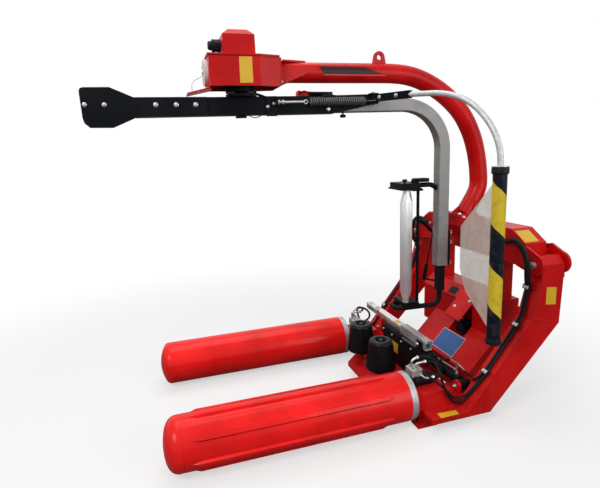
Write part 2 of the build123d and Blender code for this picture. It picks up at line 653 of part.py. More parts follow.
def make_cylinder():
    """The cylinder that opens and closes the arms, drawn from the far pin and mirrored."""
    eye_half = CYLINDER_EYE_WIDTH / 2

    def along(x):
        return (x, CYLINDER_Y, CYLINDER_Z)

    def eye(x, clearance):
        ring = rod((x, CYLINDER_Y - eye_half, CYLINDER_Z), (x, CYLINDER_Y + eye_half, CYLINDER_Z),
                   CYLINDER_EYE_RADIUS)
        return ring - rod((x, CYLINDER_Y - eye_half, CYLINDER_Z), (x, CYLINDER_Y + eye_half, CYLINDER_Z),
                          CYLINDER_BORE_RADIUS + clearance)

    base_x = -CYLINDER_PIN_X + CYLINDER_EYE_RADIUS + PIN_HEAD
    head_x = CYLINDER_PIN_X - CYLINDER_HEAD_GAP
    barrel = rod(along(base_x), along(head_x), CYLINDER_RADIUS)
    barrel += rod(along(base_x - CYLINDER_NECK_RADIUS), along(base_x + 1), CYLINDER_NECK_RADIUS)
    bore_x = base_x + CYLINDER_RADIUS
    barrel -= rod(along(bore_x), along(head_x), CYLINDER_ROD_RADIUS + RUNNING_CLEARANCE)
    node("cylinder_barrel", mirror(barrel + eye(-CYLINDER_PIN_X, 0.0), about=Plane.YZ))
    bar = rod(along(bore_x + CYLINDER_ROD_RADIUS), along(CYLINDER_PIN_X - CYLINDER_EYE_RADIUS + 4),
              CYLINDER_ROD_RADIUS)
    node("cylinder_rod", mirror(bar + eye(CYLINDER_PIN_X, OPEN_PIVOT_CLEARANCE), about=Plane.YZ))


def make_girder():
    """The upper girder, with its hinge lugs, and the pedestal of the boom."""
    end_low_z = HINGE_Z - 40
    right = [(0, GIRDER_TOP_Z), (GIRDER_FLAT_X, GIRDER_TOP_Z), (GIRDER_SLANT_X, GIRDER_SLANT_Z),
             (GIRDER_SLANT_X, end_low_z), (GIRDER_FLAT_X - 40, GIRDER_BOTTOM_Z), (0, GIRDER_BOTTOM_Z)]
    half = plate_xz(right, GIRDER_FRONT_Y, GIRDER_BACK_Y)
    end = block(GIRDER_SLANT_X - LUG_RADIUS, GIRDER_SLANT_X - LUG_GAP, GIRDER_BACK_Y, BACK_LUG_Y + HEAVY_PLATE,
                end_low_z, HINGE_Z + LUG_RADIUS)
    neck = [(GIRDER_SLANT_X - LUG_RADIUS, GIRDER_SLANT_Z - 30), (GIRDER_SLANT_X, GIRDER_SLANT_Z - 12),
            (HINGE_X + LUG_RADIUS * 0.58, HINGE_Z + LUG_RADIUS * 0.8), (HINGE_X, HINGE_Z - LUG_RADIUS),
            (GIRDER_SLANT_X - LUG_RADIUS, end_low_z)]
    for lug_y in (FRONT_LUG_Y, BACK_LUG_Y):
        lug = plate_xz(neck, lug_y, lug_y + HEAVY_PLATE)
        lug += rod((HINGE_X, lug_y, HINGE_Z), (HINGE_X, lug_y + HEAVY_PLATE, HINGE_Z), LUG_RADIUS)
        end += lug
    end -= rod((HINGE_X, FRONT_LUG_Y, HINGE_Z), (HINGE_X, BACK_LUG_Y + HEAVY_PLATE, HINGE_Z), HINGE_BORE_RADIUS)
    end += block(GIRDER_CLAMP_X - CLAMP_WIDTH, GIRDER_CLAMP_X, GIRDER_FRONT_Y - 2 * BUNDLE_RADIUS - 2 * BUNDLE_GAP,
                 GIRDER_FRONT_Y, GIRDER_CLAMP_Z - BUNDLE_RADIUS, GIRDER_CLAMP_Z + BUNDLE_RADIUS)
    half += end
    node("upper_girder", half + mirror(half, about=Plane.YZ))
    lap_y = GIRDER_FRONT_Y + POST_SETBACK + BOOM_FLANGE_HALF / 2
    pedestal = plate_yz([(PEDESTAL_FRONT_Y, PEDESTAL_TOP_Z), (lap_y, PEDESTAL_TOP_Z), (lap_y, GIRDER_TOP_Z),
                         (GIRDER_FRONT_Y, GIRDER_TOP_Z), (GIRDER_FRONT_Y, PEDESTAL_LOW_Z),
                         (PEDESTAL_FRONT_Y, GIRDER_TOP_Z - PEDESTAL_RISE)], -PEDESTAL_HALF_WIDTH, PEDESTAL_HALF_WIDTH)
    node("boom_pedestal", pedestal)


def make_base():
    """The posts, back beam, ramp and tongue between the drums."""
    posts = [block(x - POST_WIDTH / 2, x + POST_WIDTH / 2, POST_FRONT_Y, POST_FRONT_Y + POST_DEPTH,
                   BASE_TOP_Z, GIRDER_BOTTOM_Z) for x in (-POST_X, POST_X)]
    node("posts", *posts)
    section = [(BASE_FRONT_Y, BASE_LOW_Z), (BASE_FRONT_Y, BASE_EDGE_Z), (BASE_FRONT_Y + BASE_CHAMFER, BASE_TOP_Z),
               (BASE_BACK_Y, BASE_TOP_Z), (BASE_BACK_Y, BASE_LOW_Z)]
    bay = block(COVER_FAR_X, COVER_NEAR_X, BASE_FRONT_Y, BASE_FRONT_Y + VALVE_BAY_DEPTH,
                RAMP_TOP_Z - VALVE_BAY_REACH, BASE_EDGE_Z - COVER_PLATE)
    node("back_beam", plate_yz(section, -BASE_HALF_WIDTH, BASE_HALF_WIDTH) - bay)
    slab = [(BASE_FRONT_Y, RAMP_TOP_Z), (RAMP_FOOT_Y, RAMP_FOOT_Z), (RAMP_FOOT_Y + RAMP_DROP, RAMP_FOOT_Z),
            (BASE_FRONT_Y, RAMP_TOP_Z - RAMP_DROP)]
    ramp = plate_yz(slab, RAMP_FAR_X, RAMP_NEAR_X)
    rib = [(RAMP_FOOT_Y, RAMP_FOOT_Z), (BASE_FRONT_Y, RAMP_TOP_Z), (BASE_FRONT_Y, BASE_LOW_Z),
           (RAMP_FOOT_Y + SILL_DEPTH, RAMP_FOOT_Z)]
    for rib_x in (RAMP_FAR_X, COVER_FAR_X - PLATE, COVER_NEAR_X, RAMP_NEAR_X - PLATE):
        ramp += plate_yz(rib, rib_x, rib_x + PLATE)
    ramp -= block(COVER_FAR_X, COVER_NEAR_X, BASE_FRONT_Y - VALVE_BAY_REACH, BASE_FRONT_Y, 0, BASE_TOP_Z)
    node("ramp", ramp)
    top_y, top_z = BASE_FRONT_Y + COVER_LAP, BASE_EDGE_Z + COVER_LAP
    low_y, low_z = BASE_FRONT_Y - COVER_DROP, BASE_EDGE_Z - COVER_DROP
    skin = COVER_PLATE * hypot(1, 1)
    node("ramp_cover", plate_yz([(low_y, low_z), (top_y, top_z), (top_y, top_z + skin), (low_y, low_z + skin)],
                                COVER_FAR_X, COVER_NEAR_X))
    valve_y = BASE_FRONT_Y - VALVE_BAY_REACH / 2
    valve_x = (COVER_FAR_X + COVER_NEAR_X) / 2
    valve = block(valve_x - 45, valve_x + 45, valve_y, BASE_FRONT_Y + VALVE_BAY_DEPTH,
                  RAMP_TOP_Z - VALVE_BAY_REACH, RAMP_TOP_Z)
    valve += rod((valve_x, valve_y + 30, RAMP_TOP_Z), (valve_x, valve_y + 30, RAMP_TOP_Z + 40), 16)
    node("ramp_valve", valve)
    sill = block(RAMP_FAR_X, RAMP_NEAR_X, RAMP_FOOT_Y, RAMP_FOOT_Y + SILL_DEPTH, SILL_LOW_Z, RAMP_FOOT_Z)
    half, front = TONGUE_HALF_WIDTH, TONGUE_FRONT_Y
    tongue = plate_xy([(-half, RAMP_FOOT_Y), (-half, front + TONGUE_CHAMFER), (-half + TONGUE_CHAMFER, front),
                       (half - TONGUE_CHAMFER, front), (half, front + TONGUE_CHAMFER), (half, RAMP_FOOT_Y)],
                      TONGUE_LOW_Z, TONGUE_TOP_Z)
    node("ramp_sill", sill)
    stub_top = CONE_LOW_Z + CONE_HEIGHT - CONE_STUB_DEPTH - CONE_STUB_GAP
    for x in (CONE_X, -CONE_X):
        tongue += rod((x, CONE_Y, TONGUE_TOP_Z), (x, CONE_Y, stub_top), CONE_STUB_RADIUS)
    node("tongue", tongue)
    stands = []
    half, pad = STAND_SIZE / 2, STAND_PAD / 2
    for x in (-POST_X, POST_X):
        leg = block(x - half, x + half, STAND_Y - half, STAND_Y + half, STAND_PAD_THICKNESS, BASE_LOW_Z)
        stands.append(leg + block(x - pad, x + pad, STAND_Y - pad, STAND_Y + pad, 0, STAND_PAD_THICKNESS))
    node("parking_stands", *stands)


def clevis(x, y, z, back_y, gap, ear_radius, bore_radius):
    """Two ears on a face at back_y, with one bore across them."""
    ears = []
    for inner, outer in ((-gap / 2 - LINK_EAR_THICKNESS, -gap / 2), (gap / 2, gap / 2 + LINK_EAR_THICKNESS)):
        x0, x1 = x + inner, x + outer
        ear = rod((x0, y, z), (x1, y, z), ear_radius) + block(x0, x1, back_y, y, z - ear_radius, z + ear_radius)
        ears.append(ear - rod((x0, y, z), (x1, y, z), bore_radius))
    return ears


def make_hitch():
    """The ears that take the tractor's three links."""
    lower = []
    for x in (-LINK_SPACING / 2, LINK_SPACING / 2):
        lower += clevis(x, LINK_Y, LINK_Z, BASE_BACK_Y, LINK_EAR_GAP, LINK_EAR_RADIUS, LINK_BORE_RADIUS)
    node("lower_link_ears", *lower)
    node("top_link_ears", *clevis(0, TOP_LINK_Y, TOP_LINK_Z, GIRDER_BACK_Y, TOP_EAR_GAP, TOP_EAR_RADIUS,
                                  TOP_LINK_BORE_RADIUS))


def make_boom():
    """The swan-necked tube with its foot, lifting eye and end gussets."""
    flange_top = PEDESTAL_TOP_Z + BOOM_FLANGE_THICKNESS
    lean = BOOM_LEAN / (BOOM_LEAN_Z - flange_top)
    points = [(0, BOOM_BASE_Y - lean * BOOM_RADIUS, flange_top - BOOM_RADIUS), (0, BOOM_LEAN_Y, BOOM_LEAN_Z),
              (0, BOOM_LEAN_Y - 60, BOOM_LEAN_Z + 330), (0, BOOM_SHOULDER_Y, BOOM_TOP_Z),
              (0, HOUSING_BACK_Y, BOOM_TOP_Z)]
    core = bend(points, BOOM_BENDS, BOOM_RADIUS - BOOM_WALL / 2)
    tube = bend(points, BOOM_BENDS, BOOM_RADIUS, BOOM_WALL)
    plates = block(-HOUSING_BACK_HALF_WIDTH, HOUSING_BACK_HALF_WIDTH, HOUSING_BACK_Y, HOUSING_BACK_Y + PLATE,
                   HOUSING_LOW_Z + PLATE, HOUSING_TOP_Z - PLATE)
    back = HOUSING_BACK_Y + PLATE
    crown = BOOM_TOP_Z + BOOM_RADIUS
    plates += plate_xy([(-BOOM_RADIUS, back), (BOOM_RADIUS, back), (BOOM_RADIUS / 3, back + BOOM_GUSSET_TOP),
                        (-BOOM_RADIUS / 3, back + BOOM_GUSSET_TOP)], crown - PLATE / 2, crown + PLATE / 2)
    tip_z = BOOM_TOP_Z + BOOM_RADIUS * 0.3
    for x0 in (BOOM_RADIUS - PLATE, -BOOM_RADIUS):
        plates += plate_yz([(back, HOUSING_LOW_Z + PLATE), (back, tip_z + PLATE), (back + BOOM_GUSSET_SIDE, tip_z)],
                           x0, x0 + PLATE)
    foot_ribs = plate_xz([(BOOM_RADIUS * 0.9, -PLATE), (BOOM_FLANGE_HALF, -PLATE), (BOOM_FLANGE_HALF, 10),
                          (BOOM_RADIUS * 1.05, BOOM_FOOT_RIB), (BOOM_RADIUS * 0.9, BOOM_FOOT_RIB)],
                         -PLATE / 2, PLATE / 2)
    lean_angle = -degrees(atan2(BOOM_LEAN, BOOM_LEAN_Z - flange_top))
    for turn in (0, 90, 180, 270):
        plates += Pos(0, BOOM_BASE_Y, flange_top) * Rot(lean_angle, 0, 0) * Rot(0, 0, turn) * foot_ribs
    eye_base, eye_z = crown - 6, crown - 6 + EYE_RISE
    half = HEAVY_PLATE / 2
    plates += block(-half, half, EYE_Y - EYE_RADIUS, EYE_Y + EYE_RADIUS, eye_base, eye_z)
    plates += rod((-half, EYE_Y, eye_z), (half, EYE_Y, eye_z), EYE_RADIUS)
    plates -= rod((-half, EYE_Y, eye_z), (half, EYE_Y, eye_z), EYE_HOLE_RADIUS)
    boom = tube + (plates - core)
    reach = 2 * BOOM_FLANGE_HALF
    boom -= block(-reach, reach, BOOM_BASE_Y - reach, BOOM_BASE_Y + reach, flange_top - reach, flange_top)
    boom += block(-BOOM_FLANGE_HALF, BOOM_FLANGE_HALF, BOOM_BASE_Y - BOOM_FLANGE_HALF,
                  BOOM_BASE_Y + BOOM_FLANGE_HALF, PEDESTAL_TOP_Z, flange_top)
    node("boom_tube", boom)


def make_drive_housing():
    """The folded housing at the boom's end, its cover and the drive's visible ends."""
    half, back_half = HOUSING_HALF_WIDTH, HOUSING_BACK_HALF_WIDTH

    def outline(offset):
        return [(-half - offset, HOUSING_FRONT_Y - offset), (half + offset, HOUSING_FRONT_Y - offset),
                (half + offset, HOUSING_FOLD_Y), (back_half + offset, HOUSING_BACK_Y + min(offset, 0)),
                (-back_half - offset, HOUSING_BACK_Y + min(offset, 0)), (-half - offset, HOUSING_FOLD_Y)]

    housing = plate_xy(outline(0), HOUSING_LOW_Z, HOUSING_TOP_Z)
    housing -= plate_xy(outline(-HOUSING_WALL), HOUSING_LOW_Z, HOUSING_TOP_Z - HOUSING_WALL)
    housing += plate_xy(outline(LIP_OVERHANG), HOUSING_TOP_Z - LIP_THICKNESS, HOUSING_TOP_Z)
    node("drive_housing", housing)
    side = [(COVER_FRONT_Y, HOUSING_TOP_Z), (COVER_BACK_Y + PLATE, HOUSING_TOP_Z),
            (COVER_BACK_Y, COVER_TOP_Z - COVER_BEVEL), (COVER_BACK_Y - COVER_BEVEL, COVER_TOP_Z),
            (COVER_FRONT_Y + COVER_BEVEL, COVER_TOP_Z), (COVER_FRONT_Y, COVER_TOP_Z - COVER_BEVEL)]
    node("drive_cover", plate_yz(side, -COVER_HALF_WIDTH, COVER_HALF_WIDTH))
    motor_z = HOUSING_TOP_Z + SLEW_MOTOR_RISE
    node("slew_motor", rod((SLEW_MOTOR_X, COVER_FRONT_Y - SLEW_MOTOR_LENGTH, motor_z),
                           (SLEW_MOTOR_X, COVER_FRONT_Y, motor_z), SLEW_MOTOR_RADIUS))
    bearing_low = BEAM_TOP_Z + SHAFT_PLATE_THICKNESS + SHAFT_CLEARANCE
    bearing_top = HOUSING_TOP_Z - LIP_THICKNESS
    bore_top = bearing_top - PLATE
    bearing = rod((0, 0, bearing_low), (0, 0, bearing_top), SHAFT_PLATE_RADIUS)
    bearing -= rod((0, 0, bearing_low), (0, 0, bore_top), SHAFT_RADIUS + RUNNING_CLEARANCE)
    node("slew_bearing", bearing)
    disc_z = (HOUSING_LOW_Z + HOUSING_TOP_Z) / 2
    node("end_disc", rod((0, HOUSING_FRONT_Y - DISC_THICKNESS, disc_z), (0, HOUSING_FRONT_Y, disc_z), DISC_RADIUS))
    front = HOUSING_FRONT_Y - DEFLECTOR_REACH
    deflector = [(HOUSING_FRONT_Y, HOUSING_LOW_Z), (front, HOUSING_LOW_Z - 34), (front, HOUSING_LOW_Z - 44),
                 (HOUSING_FRONT_Y + HEAVY_PLATE, HOUSING_LOW_Z - 10), (HOUSING_FRONT_Y + HEAVY_PLATE, HOUSING_LOW_Z)]
    node("wire_deflector", plate_yz(deflector, -DEFLECTOR_HALF_WIDTH, DEFLECTOR_HALF_WIDTH))


def make_satellite():
    """The beam that turns over the bale, with its paddle and film arm."""
    shaft = rod((0, 0, BEAM_TOP_Z), (0, 0, BEAM_TOP_Z + SHAFT_PLATE_THICKNESS), SHAFT_PLATE_RADIUS)
    shaft += rod((0, 0, BEAM_TOP_Z), (0, 0, HOUSING_TOP_Z - LIP_THICKNESS - 2 * PLATE), SHAFT_RADIUS)
    node("satellite_shaft", shaft)
    beam = block(-BEAM_HALF, BEAM_HALF, -BEAM_FRONT_REACH, BEAM_BACK_REACH, BEAM_LOW_Z, BEAM_TOP_Z)
    inner = BEAM_HALF - BEAM_WALL
    beam -= block(-inner, inner, -BEAM_FRONT_REACH, BEAM_BACK_REACH, BEAM_LOW_Z + BEAM_WALL, BEAM_TOP_Z - BEAM_WALL)
    beam += block(BEAM_HALF, BEAM_HALF + PLATE, COLLAR_REACH, COLLAR_REACH + COLLAR_LENGTH,
                  BEAM_LOW_Z - PLATE, BEAM_TOP_Z)
    beam += block(BEAM_HALF, BEAM_HALF + COLLAR_STUB, COLLAR_REACH + COLLAR_LENGTH - PLATE,
                  COLLAR_REACH + COLLAR_LENGTH, SPRING_Z - SPRING_RADIUS, SPRING_Z + SPRING_RADIUS)
    node("satellite_beam", parked(beam))
    edge = BEAM_HEIGHT / 2
    top, low = PADDLE_HEIGHT / 2 - PADDLE_DROP, -PADDLE_HEIGHT / 2 - PADDLE_DROP
    outline = [(-PADDLE_ROOT, -edge), (-PADDLE_ROOT, edge), (-PADDLE_NECK, edge), (-PADDLE_SHOULDER, top),
               (-PADDLE_REACH + PADDLE_CORNER, top), (-PADDLE_REACH, top - PADDLE_CORNER),
               (-PADDLE_REACH + PADDLE_THICKNESS, low + 3 * PADDLE_CORNER),
               (-PADDLE_REACH + 3 * PADDLE_CORNER, low), (-PADDLE_SHOULDER + PADDLE_CORNER, low), (-PADDLE_NECK, -edge)]
    paddle = plate_yz([(y, BEAM_MID_Z + z) for y, z in outline], BEAM_HALF, BEAM_HALF + PADDLE_THICKNESS)
    node("paddle", parked(paddle))
    start = BEAM_BACK_REACH - FILM_TUBE_INSERT
    path = [(0, start, FILM_TUBE_Z), (0, FILM_TUBE_REACH, FILM_TUBE_Z), (0, FILM_TUBE_REACH, FILM_TUBE_END_Z)]
    node("film_arm_tube", parked(box_bend(path, [FILM_TUBE_BEND], FILM_TUBE, FILM_TUBE_WALL)))


def make_stretcher():
    """The film pre-stretcher: two rollers between a top box and a looped low frame."""
    reach, inner_x = STRETCH_REACH, -STRETCH_SPACING
    half = LOW_POST / 2
    post = block(-half, half, FILM_TUBE_REACH - half, FILM_TUBE_REACH + half, LOW_TUBE_START_Z, FILM_TUBE_END_Z)
    loop_y = reach - LOW_LOOP_REACH
    loop = bend([(0, FILM_TUBE_REACH, LOW_TUBE_START_Z), (0, FILM_TUBE_REACH, LOW_TUBE_Z), (0, loop_y, LOW_TUBE_Z),
                 (inner_x, loop_y, LOW_TUBE_Z), (inner_x, reach + LOW_LOOP_RETURN, LOW_TUBE_Z)],
                [70, 50, 50], LOW_TUBE_RADIUS)
    plate_top = STRETCH_LOW_Z - RUNNING_CLEARANCE
    plate_low = LOW_TUBE_Z + LOW_TUBE_RADIUS - 4
    carrier = block(inner_x - half, half, reach - half, reach + STRETCH_INNER_SHIFT + half, plate_low, plate_top)
    guide_low = LOW_TUBE_Z + LOW_TUBE_RADIUS
    guide = block(inner_x, half, GUIDE_ROD_REACH - GUIDE_ROD_RADIUS, GUIDE_ROD_REACH + GUIDE_ROD_RADIUS,
                  guide_low - PLATE, guide_low + PLATE)
    guide += rod((0, GUIDE_ROD_REACH, guide_low), (0, GUIDE_ROD_REACH, TOP_PLATE_Z), GUIDE_ROD_RADIUS)
    guide += block(-half, half, reach + STRETCH_RADIUS, GUIDE_ROD_REACH + half, TOP_PLATE_Z - PLATE, TOP_PLATE_Z)
    node("stretcher_low_frame", parked(post + loop + carrier + guide))
    box_z = TOP_PLATE_Z + PLATE
    box_top_z = TOP_PLATE_Z + TOP_BOX_HEIGHT
    box_back = reach + STRETCH_INNER_SHIFT + HEAVY_PLATE
    side = STRETCH_RADIUS + 8
    top = block(inner_x - side, side, reach - side - PLATE, box_back + PLATE, TOP_PLATE_Z, box_z)
    top += block(inner_x - side + 6, side - 6, reach - side, box_back, box_z, box_top_z)
    cover_y = reach + TOP_COVER_REACH
    cover_z = box_top_z + 4
    top += block(inner_x + 100, inner_x + 160, cover_y - 40, cover_y, box_z, cover_z + 6)
    top += block(inner_x + 90, inner_x + 90 + TOP_COVER_SIZE, cover_y - 20, cover_y + TOP_COVER_SIZE, cover_z,
                 cover_z + 28)
    tube_z = box_z + TOP_TUBE_RADIUS
    tube = bend([(0, box_back - PLATE, tube_z), (0, FILM_TUBE_REACH - FILM_TUBE, tube_z),
                 (0, FILM_TUBE_REACH, tube_z - 0.6 * FILM_TUBE)], [FILM_TUBE * 0.8], TOP_TUBE_RADIUS)
    tube -= block(-FILM_TUBE, FILM_TUBE, FILM_TUBE_REACH - FILM_TUBE / 2, FILM_TUBE_REACH + FILM_TUBE,
                  0, 2 * tube_z)
    node("stretcher_top_frame", parked(top + tube))
    rest_x = -FILM_TUBE / 2 - REST_ARM_SIDE
    rest_y, rest_z = FILM_TUBE_REACH, REST_ARM_Z
    rest = bend([(-FILM_TUBE / 2, rest_y, rest_z), (rest_x, rest_y, rest_z),
                 (rest_x, rest_y - REST_ARM_REACH * 0.6, rest_z + REST_ARM_RISE * 0.85),
                 (rest_x, rest_y - REST_ARM_REACH, rest_z + REST_ARM_RISE)], [30, 40], REST_ARM_RADIUS)
    damper_top = (rest_x, rest_y, rest_z - REST_ARM_RADIUS)
    damper_low = (rest_x, rest_y - DAMPER_LEAN - REST_ARM_RADIUS, DAMPER_LOW_Z)
    middle = tuple((a + 2 * b) / 3 for a, b in zip(damper_top, damper_low))
    damper = rod(damper_top, middle, DAMPER_ROD_RADIUS) + rod(middle, damper_low, DAMPER_RADIUS)
    damper += rod((damper_low[0], damper_low[1], DAMPER_LOW_Z + 6), (-half, FILM_TUBE_REACH, DAMPER_LOW_Z + 6), 8)
    node("film_rest_arm", parked(rest + (damper - post)))
    for name, x, shift, radius in (("outer", 0, 0, STRETCH_RADIUS),
                                   ("inner", inner_x, STRETCH_INNER_SHIFT, STRETCH_INNER_RADIUS)):
        neck = min(STRETCH_NECK_RADIUS, radius - 10)
        with BuildSketch(Plane.XZ) as half_section:
            with BuildLine():
                Polyline((0, STRETCH_LOW_Z), (neck, STRETCH_LOW_Z), (neck, STRETCH_LOW_Z + STRETCH_JOURNAL),
                         (radius, STRETCH_BODY_LOW_Z), (radius, STRETCH_BODY_TOP_Z),
                         (neck, STRETCH_TOP_Z - STRETCH_JOURNAL), (neck, STRETCH_TOP_Z), (0, STRETCH_TOP_Z),
                         (0, STRETCH_LOW_Z))
            make_face()
        node("stretch_roller_" + name, parked(Pos(x, reach + shift, 0) * revolve(half_section.sketch, axis=Axis.Z)))
    strip_x, strip_y = FILM_TUBE / 2, FILM_TUBE_REACH + FILM_TUBE / 2
    node("flap_strip", parked(block(strip_x - FLAP_STRIP_WIDTH, strip_x, strip_y, strip_y + FLAP_STRIP_DEPTH,
                                    FILM_TUBE_END_Z, FLAP_STRIP_TOP_Z)))


def make_safety_arm():
    """The sprung bar that goes round ahead of the film arm, and its flap."""
    pivot_x, pivot_y = SAFETY_PIVOT_X, SAFETY_PIVOT_REACH
    bracket = plate_yz([(BEAM_BACK_REACH - SAFETY_SHELF_HALF, BEAM_TOP_Z), (BEAM_BACK_REACH, BEAM_TOP_Z),
                        (pivot_y + SAFETY_SHELF_HALF, FILM_TUBE_TOP_Z + PLATE),
                        (pivot_y + SAFETY_SHELF_HALF, FILM_TUBE_TOP_Z - PLATE), (BEAM_BACK_REACH, BEAM_LOW_Z),
                        (BEAM_BACK_REACH - SAFETY_SHELF_HALF, BEAM_LOW_Z)], BEAM_HALF, BEAM_HALF + PLATE)
    bracket += block(-FILM_TUBE / 2, pivot_x + SAFETY_PIVOT_RADIUS + 4, pivot_y - SAFETY_SHELF_HALF,
                     pivot_y + SAFETY_SHELF_HALF, FILM_TUBE_TOP_Z, FILM_TUBE_TOP_Z + PLATE)
    bracket += rod((pivot_x, pivot_y, FILM_TUBE_TOP_Z), (pivot_x, pivot_y, SAFETY_LEVER_TOP_Z + PLATE),
                   SAFETY_PIVOT_RADIUS)
    bracket += rod((pivot_x, pivot_y, FILM_TUBE_TOP_Z), (pivot_x, pivot_y, SAFETY_LEVER_LOW_Z - RUNNING_CLEARANCE),
                   SAFETY_PIVOT_RADIUS * 1.4)
    node("safety_pivot", parked(bracket))
    away = Vector(SAFETY_X - pivot_x, SAFETY_REACH - pivot_y, 0).normalized()
    angle = degrees(atan2(away.Y, away.X))
    half = SAFETY_LEVER_THICKNESS / 2
    lever = block(0, SAFETY_LEVER_LENGTH, -half, half, 0, SAFETY_LEVER_HEIGHT)
    lever += rod((0, 0, 0), (0, 0, SAFETY_LEVER_HEIGHT), SAFETY_BOSS_RADIUS)
    lever -= rod((0, 0, 0), (0, 0, SAFETY_LEVER_HEIGHT), SAFETY_PIVOT_RADIUS + HINGE_CLEARANCE)
    drop = SAFETY_LEVER_LOW_Z - SPRING_Z + SPRING_WIRE
    lever += rod((SAFETY_CRANK, 0, -drop), (SAFETY_CRANK, 0, 1), SPRING_WIRE * 0.9)
    node("safety_lever", parked(Pos(pivot_x, pivot_y, SAFETY_LEVER_LOW_Z) * Rot(0, 0, angle) * lever))
    start = Vector(pivot_x, pivot_y, SAFETY_LEVER_Z) + away * SAFETY_LEVER_LENGTH
    bar = bend([(start.X, start.Y, start.Z), (SAFETY_X, SAFETY_REACH, SAFETY_LEVER_Z),
                (SAFETY_X, SAFETY_REACH, SLEEVE_TOP_Z)], [SAFETY_BAR_BEND], SAFETY_BAR_RADIUS)
    node("safety_bar", parked(bar))
    cap_z = SLEEVE_TOP_Z - SLEEVE_CAP_HEIGHT
    sleeve = rod((SAFETY_X, SAFETY_REACH, SLEEVE_LOW_Z), (SAFETY_X, SAFETY_REACH, SLEEVE_TOP_Z), SLEEVE_RADIUS)
    sleeve += rod((SAFETY_X, SAFETY_REACH, cap_z), (SAFETY_X, SAFETY_REACH, SLEEVE_TOP_Z), SLEEVE_CAP_RADIUS)
    flare = Pos(SAFETY_X, SAFETY_REACH, SLEEVE_LOW_Z) * Cone(SLEEVE_RADIUS + SLEEVE_FLARE, SLEEVE_RADIUS,
                                                           SLEEVE_CAP_HEIGHT, align=(Align.CENTER, Align.CENTER,
                                                                                     Align.MIN))
    node("safety_sleeve", parked(sleeve + flare))
    strip = Vector(FILM_TUBE / 2 + FLAP_STRIP_WIDTH, FILM_TUBE_REACH, 0)
    post = Vector(SAFETY_X, SAFETY_REACH, 0)
    toward = (strip - post).normalized()
    height = FLAP_TOP_Z - FLAP_LOW_Z
    corners = [post + toward * (FLAP_REACH * u) + Vector(0, 0, FLAP_LOW_Z + height * v) for u, v in FLAP_OUTLINE]
    face = make_face(Polyline(*[(p.X, p.Y, p.Z) for p in corners], close=True))
    flap = extrude(face, FLAP_THICKNESS / 2, dir=(toward.Y, -toward.X, 0), both=True)
    flap -= rod((SAFETY_X, SAFETY_REACH, SLEEVE_LOW_Z), (SAFETY_X, SAFETY_REACH, SLEEVE_TOP_Z), SLEEVE_RADIUS)
    node("safety_flap", parked(flap))
    hook_y = pivot_y + away.Y * SAFETY_CRANK - SPRING_WIRE * 2
    hook_x = pivot_x + away.X * SAFETY_CRANK
    coil_end = pivot_y - SPRING_HOOK_GAP
    coil_start = coil_end - SPRING_LENGTH
    spring = rod((SPRING_X, coil_start, SPRING_Z), (SPRING_X, coil_end, SPRING_Z), SPRING_RADIUS)
    spring += rod((SPRING_X, COLLAR_REACH + COLLAR_LENGTH, SPRING_Z), (SPRING_X, coil_start, SPRING_Z),
                  SPRING_ROD_RADIUS)
    spring += rod((SPRING_X, coil_end, SPRING_Z), (hook_x, hook_y, SPRING_Z), SPRING_WIRE * 0.7)
    node("safety_spring", parked(spring))
    valve_top = BEAM_TOP_Z + 40
    valve = block(-20, 30, 382, 471, BEAM_TOP_Z, valve_top)
    for x in (-8, 14):
        valve += rod((x, 471, valve_top - 16), (x, 560, valve_top - 16), 9)
    valve += block(-30, 44, 560, 640, BEAM_TOP_Z, valve_top - 8)
    node("safety_valve", parked(valve))


